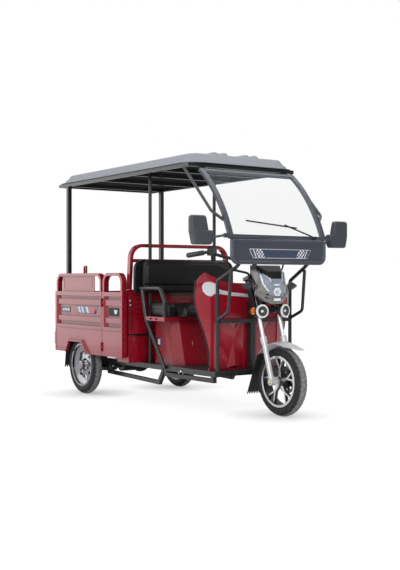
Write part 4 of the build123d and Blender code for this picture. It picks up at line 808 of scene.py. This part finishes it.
def back_face(y, z, inside):
    """x of the backrest's padded face: a crowned panel over a lower band, with piping near the edge."""
    # how far the edge has rolled over, and shares of the thickness for the face, the piping and the seam
    roll = 1 - math.exp(-inside / 0.012)
    welt = math.exp(-((inside - 0.020) / 0.004) ** 2)
    if z < BACK_BAND:
        rise = min(1, max(0, (z - BACK_LOW.z) / (BACK_BAND - BACK_LOW.z)))
        base = 0.62 + 0.16 * 0.55 * math.sin(math.pi * rise) ** 0.5
        welt = 0
    else:
        t = (z - BACK_BAND) / (BACK_HIGH.z - BACK_BAND)
        base = 0.80 + 0.19 * math.sin(math.pi * min(1, t + 0.1)) ** 0.6 if t < 0.9 else 0.86
        base *= 1 - 0.08 * (abs(y) / BACK_HALF) ** 4
    seam = math.exp(-((z - BACK_BAND) / 0.0035) ** 2)
    share = base * (0.45 + 0.55 * roll) - 0.10 * welt - 0.16 * seam
    return BACK_LOW.x + (BACK_HIGH.x - BACK_LOW.x) * share


def backrest():
    """Padded backrest."""
    columns, levels = 120, 44
    rows = [[back_point(-BACK_HALF + 2 * BACK_HALF * i / columns,
                        BACK_LOW.z + (BACK_HIGH.z - BACK_LOW.z) * j / levels)
             for i in range(columns + 1)] for j in range(levels + 1)]
    bm = bmesh.new()
    closed_sheet(bm, [[Vector((back_face(*place), *place[:2])) for place in row] for row in rows],
                 [[Vector((BACK_LOW.x + 0.001, y, z)) for y, z, _ in row] for row in rows])
    piece = add_mesh("backrest_pad", bm, "chassis", "leather")
    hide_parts("backrest")


seat_cushion()
backrest()


# -------------------- plates and films
BAND_SLANT = 0.55                         # how far bands lean for each unit of height
CHECK_SIZE, CHECK_LEAN = 0.0125, 0.45
FILM_LIFT, UPPER_LIFT = 0.0012, 0.0018    # for a film on the paint, and for one on another film


def plain(name, colour, rough=0.3, metal=0.0, coat=0.4):
    """A finish for a small piece."""
    return surface(name, colour, rough, metal=metal, coat=coat, tint=0.04, patch=30, grain=400,
                   bevel=0).material


def printed(name, field):
    """A printed field, before its pattern."""
    return surface(name, field, 0.3, coat=0.5, tint=0.03, patch=30, grain=300, relief=0.04, bevel=0)


def banded(name, field, bands):
    """A blank plate: a field with slanted bands of other colours and nothing else."""
    s = printed(name, field)
    slant = s.plus(s.axis("X"), s.times(s.axis("Z"), BAND_SLANT))
    for low, high, paint in bands:
        s.set(Base_Color=s.mix(s.within(slant, low, high), s.colour(), paint))
    return s.material


def checked(name, field, paint):
    """A blank band whose ends carry plain checks and a slanted bar."""
    s = printed(name, field)
    checks = s.node("ShaderNodeTexChecker", {"Vector": s.folded(), "Scale": 1 / CHECK_SIZE}).outputs["Fac"]
    leaning = s.minus(s.size(s.axis("Y")), s.times(s.axis("Z"), CHECK_LEAN))
    level = middle("cowl").z * CHECK_LEAN
    inner, outer = 0.148 - level, 0.205 - level
    colour = s.mix(s.times(s.within(leaning, inner, outer), checks), s.colour(), paint)
    s.set(Base_Color=s.mix(s.within(leaning, outer + 0.010, outer + 0.018), colour, paint))
    return s.material


WHITE_FILM = plain("film_white", (226, 224, 226))
BLUE_FILM = plain("film_blue", (38, 54, 92))
DARK_FILM = plain("film_dark", (26, 29, 38), 0.6, coat=0.0)
COWL_FILM = checked("film_checked", (60, 68, 92), linear(226, 226, 230))
TRIM_RUBBER = plain("trim_rubber", (22, 23, 25), 0.55, coat=0.0)


def film(name, body, slot, material, skin, pairs, across, lift):
    """A thin printed film or plate laid on a skin."""
    bm = bmesh.new()
    skin.lay(bm, pairs, across, lift)
    add_mesh(name, bm, body, slot, material)


def bed_plates():
    """Blank plates in the recesses of both bed sides and doors."""
    start = at(90, 0, 0).x + BAND_SLANT * 0.66
    blue, red = linear(60, 84, 138), linear(176, 44, 62)
    bands = banded("plate_bands", (214, 214, 222), [
        (start - 0.10, start - 0.075, blue), (start - 0.05, start, blue), (start + 0.03, start + 0.16, red)])
    # name, x and z of the edges in millimetres, finish, how far the ends lean, whether it lies on a plate
    on_panel = (("plate_rear", -333, -178, 632, 678, BLUE_FILM, 0, False),
                ("plate_rear_bar", -322, -189, 648, 664, WHITE_FILM, 0, True),
                ("plate_middle", -75, 269, 631, 689, BLUE_FILM, 30, False),
                ("plate_middle_face", -68, 262, 636, 684, bands, 28, True))
    on_door = (("plate_door", 444, 598, 622, 684, DARK_FILM, 0, False),
               ("plate_door_bar", 520, 575, 638, 668, WHITE_FILM, 14, True))
    for side, end in SIDES:
        for body, node, plates in (("chassis", f"bed_side_{end}", on_panel),
                                   (f"side_door_{end}", f"side_door_{end}", on_door)):
            skin = Skin(node, (0, side, 0))
            for name, x0, x1, z0, z1, material, slant, upper in plates:
                pairs = []
                for z, inset in rounded_rows(z0, z1, 6):
                    shift = slant * (z1 - z) / (z1 - z0) + inset
                    pairs.append((at(x0 + shift, 0, z), at(x1 - shift, 0, z)))
                film(f"{name}_{end}", body, "body_red", material, skin, pairs, 10,
                     UPPER_LIFT if upper else FILM_LIFT)


def shield_film():
    """White film across the leg shield: a round head on each wing and a band between them."""
    head_y, head_z, head_radius = 298, 829, 49
    angles = [math.radians(12 + 10 * k) for k in range(15)]
    places = [(head_y + head_radius * math.cos(a), head_z - max(0, a - 1.6) ** 2 * 14) for a in angles]
    places += [(234, 811), (210, 805), (145, 795), (0, 783)]
    widths = [0.002 * head_radius * math.sin(a) for a in angles] + [0.031, 0.027, 0.024, 0.0225]
    skin = Skin("leg_shield", FORWARD)
    bm = bmesh.new()
    for side, _ in SIDES:
        skin.lay(bm, swept_pairs([at(0, side * y, z) for y, z in places], widths, 3), 8, FILM_LIFT)
    add_mesh("shield_film", bm, "chassis", "shield_red", WHITE_FILM)


def shield_trim():
    """Rubber edging round the leg shield's wings."""
    low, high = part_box("leg_shield")
    bottom, top, levels = low.z + 0.012, high.z - 0.05, 28
    points = [v.co for v in nodes["leg_shield"].data.vertices]
    bm = bmesh.new()
    for side, _ in SIDES:
        rim = []
        for z in (bottom + (top - bottom) * k / levels for k in range(levels + 1)):
            near = [p for p in points if abs(p.z - z) < 0.02 and p.y * side > 0.1]
            tip = max(near, key=lambda p: p.y * side)
            rim.append(Vector((tip.x - 0.001, tip.y, z)))
        for _ in range(3):
            inner = [(a + b * 2 + c) / 4 for a, b, c in zip(rim, rim[1:], rim[2:])]
            rim = [rim[0], *inner, rim[-1]]
        tube(bm, rim, 0.0055)
    add_mesh("shield_trim", bm, "chassis", "rubber", TRIM_RUBBER)


def cowl_film():
    """Blank band on the cowl: a white edge round a dark blue field."""
    bottom, top, bottom_half = 1030, 1090, 228
    skin = Skin("cowl", FORWARD)
    for name, inset, material, lift in (("cowl_film_edge", 0, WHITE_FILM, 0.0008),
                                        ("cowl_film_field", 3, COWL_FILM, 0.0014)):
        pairs = []
        for z, round_in in rounded_rows(bottom + inset, top - inset, 8):
            half = bottom_half + (z - bottom) * 0.55 - inset - round_in
            pairs.append((at(0, -half, z), at(0, half, z)))
        film(name, "chassis", "cowl_grey", material, skin, pairs, 24, lift)


def base_plate():
    """Small blank plate on the seat base's right side, with a white middle."""
    skin = Skin("seat_base", (0, -1, 0))
    for name, inset, material, lift in (("base_plate", 0, BLUE_FILM, 0.001),
                                        ("base_plate_mark", 22, WHITE_FILM, 0.0016)):
        pairs = [(at(822 + inset + r, 0, z), at(898 - inset - r, 0, z))
                 for z, r in rounded_rows(414 + inset / 2, 476 - inset / 2, 6)]
        film(name, "chassis", "body_red", material, skin, pairs, 6, lift)


def wall_trim():
    """Black edging of the service panel in the bed's front wall, on both sides."""
    edge, width = 432, 0.011
    skin = Skin("bed_front_wall", FORWARD)
    bm = bmesh.new()
    for side, _ in SIDES:
        for ends in (((edge, 716), (edge, 490)), ((edge, 484), (150, 484))):
            line = [at(0, side * y, z) for y, z in ends]
            skin.lay(bm, swept_pairs(line, [width, width]), 2, 0.003)
    add_mesh("wall_trim", bm, "chassis", "rubber", TRIM_RUBBER)


bed_plates()
shield_film()
shield_trim()
cowl_film()
base_plate()
wall_trim()


# -------------------- lamps
def turn_signals():
    """Front turn signals: a thin stalk that swells into a ridged, pointed body."""
    low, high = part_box("turn_signals")
    centre = (low + high) / 2
    deep, tall = (high.x - low.x) / 2, (high.z - low.z) / 2
    root = 0.108
    # share of the length, then of the height and of the depth there
    profile = ((0.0, 0.26, 0.30), (0.30, 0.24, 0.26), (0.36, 0.55, 0.55), (0.50, 0.96, 0.90),
               (0.62, 0.98, 0.97), (0.80, 0.62, 0.75), (0.93, 0.30, 0.40), (1.0, 0.05, 0.08))
    bm = bmesh.new()
    for side, _ in SIDES:
        rings = []
        for share, height, depth in profile:
            ring = []
            for c, v in ((math.cos(a), math.sin(a)) for a in turns(24)):
                squared = 1 / (abs(c) + abs(v)) * 0.55 + 0.45
                ring.append(Vector((centre.x + c * deep * depth * squared,
                                    side * (root + (high.y - root) * share),
                                    centre.z + v * tall * height * squared)))
            rings.append(ring)
        capped(bm, rings)
    bmesh.ops.recalc_face_normals(bm, faces=bm.faces)
    case = plain("signal_case", (46, 48, 52), 0.4, coat=0.1)
    piece = add_mesh("signal_bodies", bm, "steering", "rubber", case, smooth=False)
    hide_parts("turn_signals")


def lamp_strips():
    """White light strips under the edges of the headlamp's cover, and a white bar in its middle, above the
    lens, that is a painted highlight.
    """
    face_x, foot_z = 1837.3, 812
    # y and height over foot_z in millimetres, then the strip's widths in metres
    outer = (((100, 112), (97, 84), (94, 55), (80, 24), (64, 0)), (0.009, 0.009, 0.009, 0.008, 0.005))
    inner = (((82, 116), (66, 104), (52, 88), (46, 66)), (0.005, 0.008, 0.008, 0.004))
    # painted highlight: this white bar stands in for a highlight above the lens
    bar = (((-24, 46), (0, 46), (24, 46)), (0.009, 0.013, 0.009))
    skin = Skin("headlamp_cover", FORWARD)
    bm = bmesh.new()
    for side, (places, widths) in ((-1, outer), (-1, inner), (1, outer), (1, inner), (1, bar)):
        line = [at(face_x, side * y, foot_z + z) for y, z in places]
        skin.lay(bm, swept_pairs(line, widths), 3, 0.0006)
    add_mesh("lamp_strips", bm, "steering", "lens")


turn_signals()
lamp_strips()


# -------------------- fasteners and wires
ZINC = plain("zinc", (206, 206, 204), 0.25, metal=1.0)
GOLD_ZINC = plain("gold_zinc", (198, 166, 104), 0.3, metal=1.0)


def bolts(name, body, material, places, across, height):
    """Hexagon bolts at points, each with the direction that it faces."""
    bm = bmesh.new()
    for point, facing in places:
        hex_bolt(bm, point, facing, across, height)
    add_mesh(name, bm, body, "silver", material, smooth=False)


def fasteners():
    """Bolts of the bed's front wall, nuts of both axles' wheels, and bolts of the steps."""
    bolts("latch_bolts", "chassis", ZINC,
          [(at(690, side * y, z), FORWARD) for side, _ in SIDES for y, z in ((440, 739), (438, 706))],
          0.013, 0.009)
    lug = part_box("fork_lower")
    bolts("axle_nuts", "steering", GOLD_ZINC,
          [(Vector((FRONT_WHEEL.x, face - side * 0.0106, FRONT_WHEEL.z)), (0, side, 0))
           for (side, _), face in zip(SIDES, (lug[0].y, lug[1].y))], 0.019, 0.0105)
    bolts("step_bolts", "chassis", ZINC,
          [(at(x, side * 340, z), (0, side, 0)) for side, _ in SIDES for x, z in ((807, 249), (1205, 258))],
          0.010, 0.007)
    for (side, end), hub in zip(SIDES, REAR_WHEELS):
        skin = Skin(f"rear_rim_{end}", (0, side, 0))
        seats = [skin.onto(hub + Vector((math.cos(turn), 0, math.sin(turn))) * 0.044)
                 for turn in (2 * math.pi * (k + 0.5) / 5 for k in range(5))]
        bolts(f"wheel_nuts_{end}", f"rear_wheel_{end}", ZINC,
              [(seat - Vector((0, side * 0.001, 0)), (0, side, 0)) for seat in seats], 0.013, 0.009)


def lamp_wires():
    """Short red wires looped between the headlamp's shell and the lamp bracket, fixed at both ends."""
    red = plain("wire_red", (196, 44, 40), 0.4)
    bm = bmesh.new()
    for places in (((1757, -24, 736), (1764, -6, 716), (1757, 14, 730)),
                   ((1757, 34, 734), (1766, 56, 712), (1757, 74, 724))):
        tube(bm, smooth_path([at(*place) for place in places], 8), 0.0022)
    add_mesh("lamp_wires", bm, "steering", "rubber", red)


fasteners()
lamp_wires()


# -------------------- camera and studio
WHITE = (1, 1, 1, 1)


def camera():
    """The main view: level, from ahead and to the right of the vehicle."""
    data = bpy.data.cameras.new("camera")
    data.lens = 61.8
    data.sensor_width = 36
    data.shift_y = -0.0072
    data.clip_end = 100
    eye = linked("camera", data)
    eye.location = (6.01675, -4.073, 0.8835)
    eye.rotation_euler = Vector((-0.8227, 0.5684, 0)).to_track_quat("-Z", "Y").to_euler()
    scene.camera = eye


def area_lamp(name, place, target, size, power):
    """A rectangular lamp at a place, aimed at a target."""
    data = bpy.data.lights.new(name, "AREA")
    data.shape = "RECTANGLE"
    data.size, data.size_y = size
    data.energy = power
    lamp = linked(name, data)
    lamp.location = place
    lamp.rotation_euler = (Vector(target) - Vector(place)).to_track_quat("-Z", "Y").to_euler()


def studio():
    """White for the camera and through glass; reflections are bright behind and right, dim ahead."""
    world = bpy.data.worlds.new("studio")
    scene.world = world
    world.use_nodes = True
    world.node_tree.nodes.clear()
    s = Nodes(world.node_tree)
    rays = s.node("ShaderNodeLightPath").outputs
    bright_side = Vector((-0.45, -0.6, 0.75)).normalized()
    facing = s.vector("DOT_PRODUCT", s.coord.outputs["Generated"], bright_side, "Value")
    soft, gloss, white = (s.light("ShaderNodeBackground", *look) for look in (
        ((0.95, 0.97, 1.0, 1), 0.66), (WHITE, s.remap(facing, -0.85, 0.7, 0.14, 0.95)), (WHITE, 1.0)))
    seen = s.most(rays["Is Camera Ray"], rays["Is Transmission Ray"])
    sky = s.choose(seen, s.choose(rays["Is Glossy Ray"], soft, gloss), white)
    s.feed(s.node("ShaderNodeOutputWorld").inputs["Surface"], sky)


def floor():
    """A wide pale floor that stays white to the camera and keeps the vehicle's soft shadow."""
    bm = bmesh.new()
    bmesh.ops.create_grid(bm, x_segments=8, y_segments=8, size=40)
    ground = linked("studio_floor", finished("studio_floor", bm))
    s = Shader("studio_floor")
    s.set(Base_Color=(0.86, 0.86, 0.86, 1), Roughness=0.9, Specular_IOR_Level=0.1)
    # the share of the glow, less under the vehicle and least where the tyres stand
    share = s.remap(s.distance(Vector(), "Z"), 1.2, 2.6, 0.8, 1.0)
    for wheel in (FRONT_WHEEL, *REAR_WHEELS):
        share = s.times(share, s.remap(s.distance(wheel, "Z"), 0.08, 0.42, 0.45, 1.0))
    share = s.times(share, s.node("ShaderNodeLightPath").outputs["Is Camera Ray"])
    glow = s.light("ShaderNodeEmission", WHITE, 1.12)
    s.feed(s.tree.nodes["Material Output"].inputs["Surface"], s.choose(share, s.bsdf.outputs[0], glow))
    ground.data.materials.append(s.material)


camera()
studio()
floor()
area_lamp("overhead", (0.0, 0.5, 4.8), (0.0, 0.5, 0.6), (4.5, 5.5), 95)
area_lamp("key", (4.4, -3.4, 2.6), (0.2, 0, 0.7), (2.2, 1.6), 78)
area_lamp("side", (-5.2, -3.9, 1.3), (-0.2, 0, 0.7), (5.5, 3.4), 56)
scene.view_settings.view_transform = "Standard"
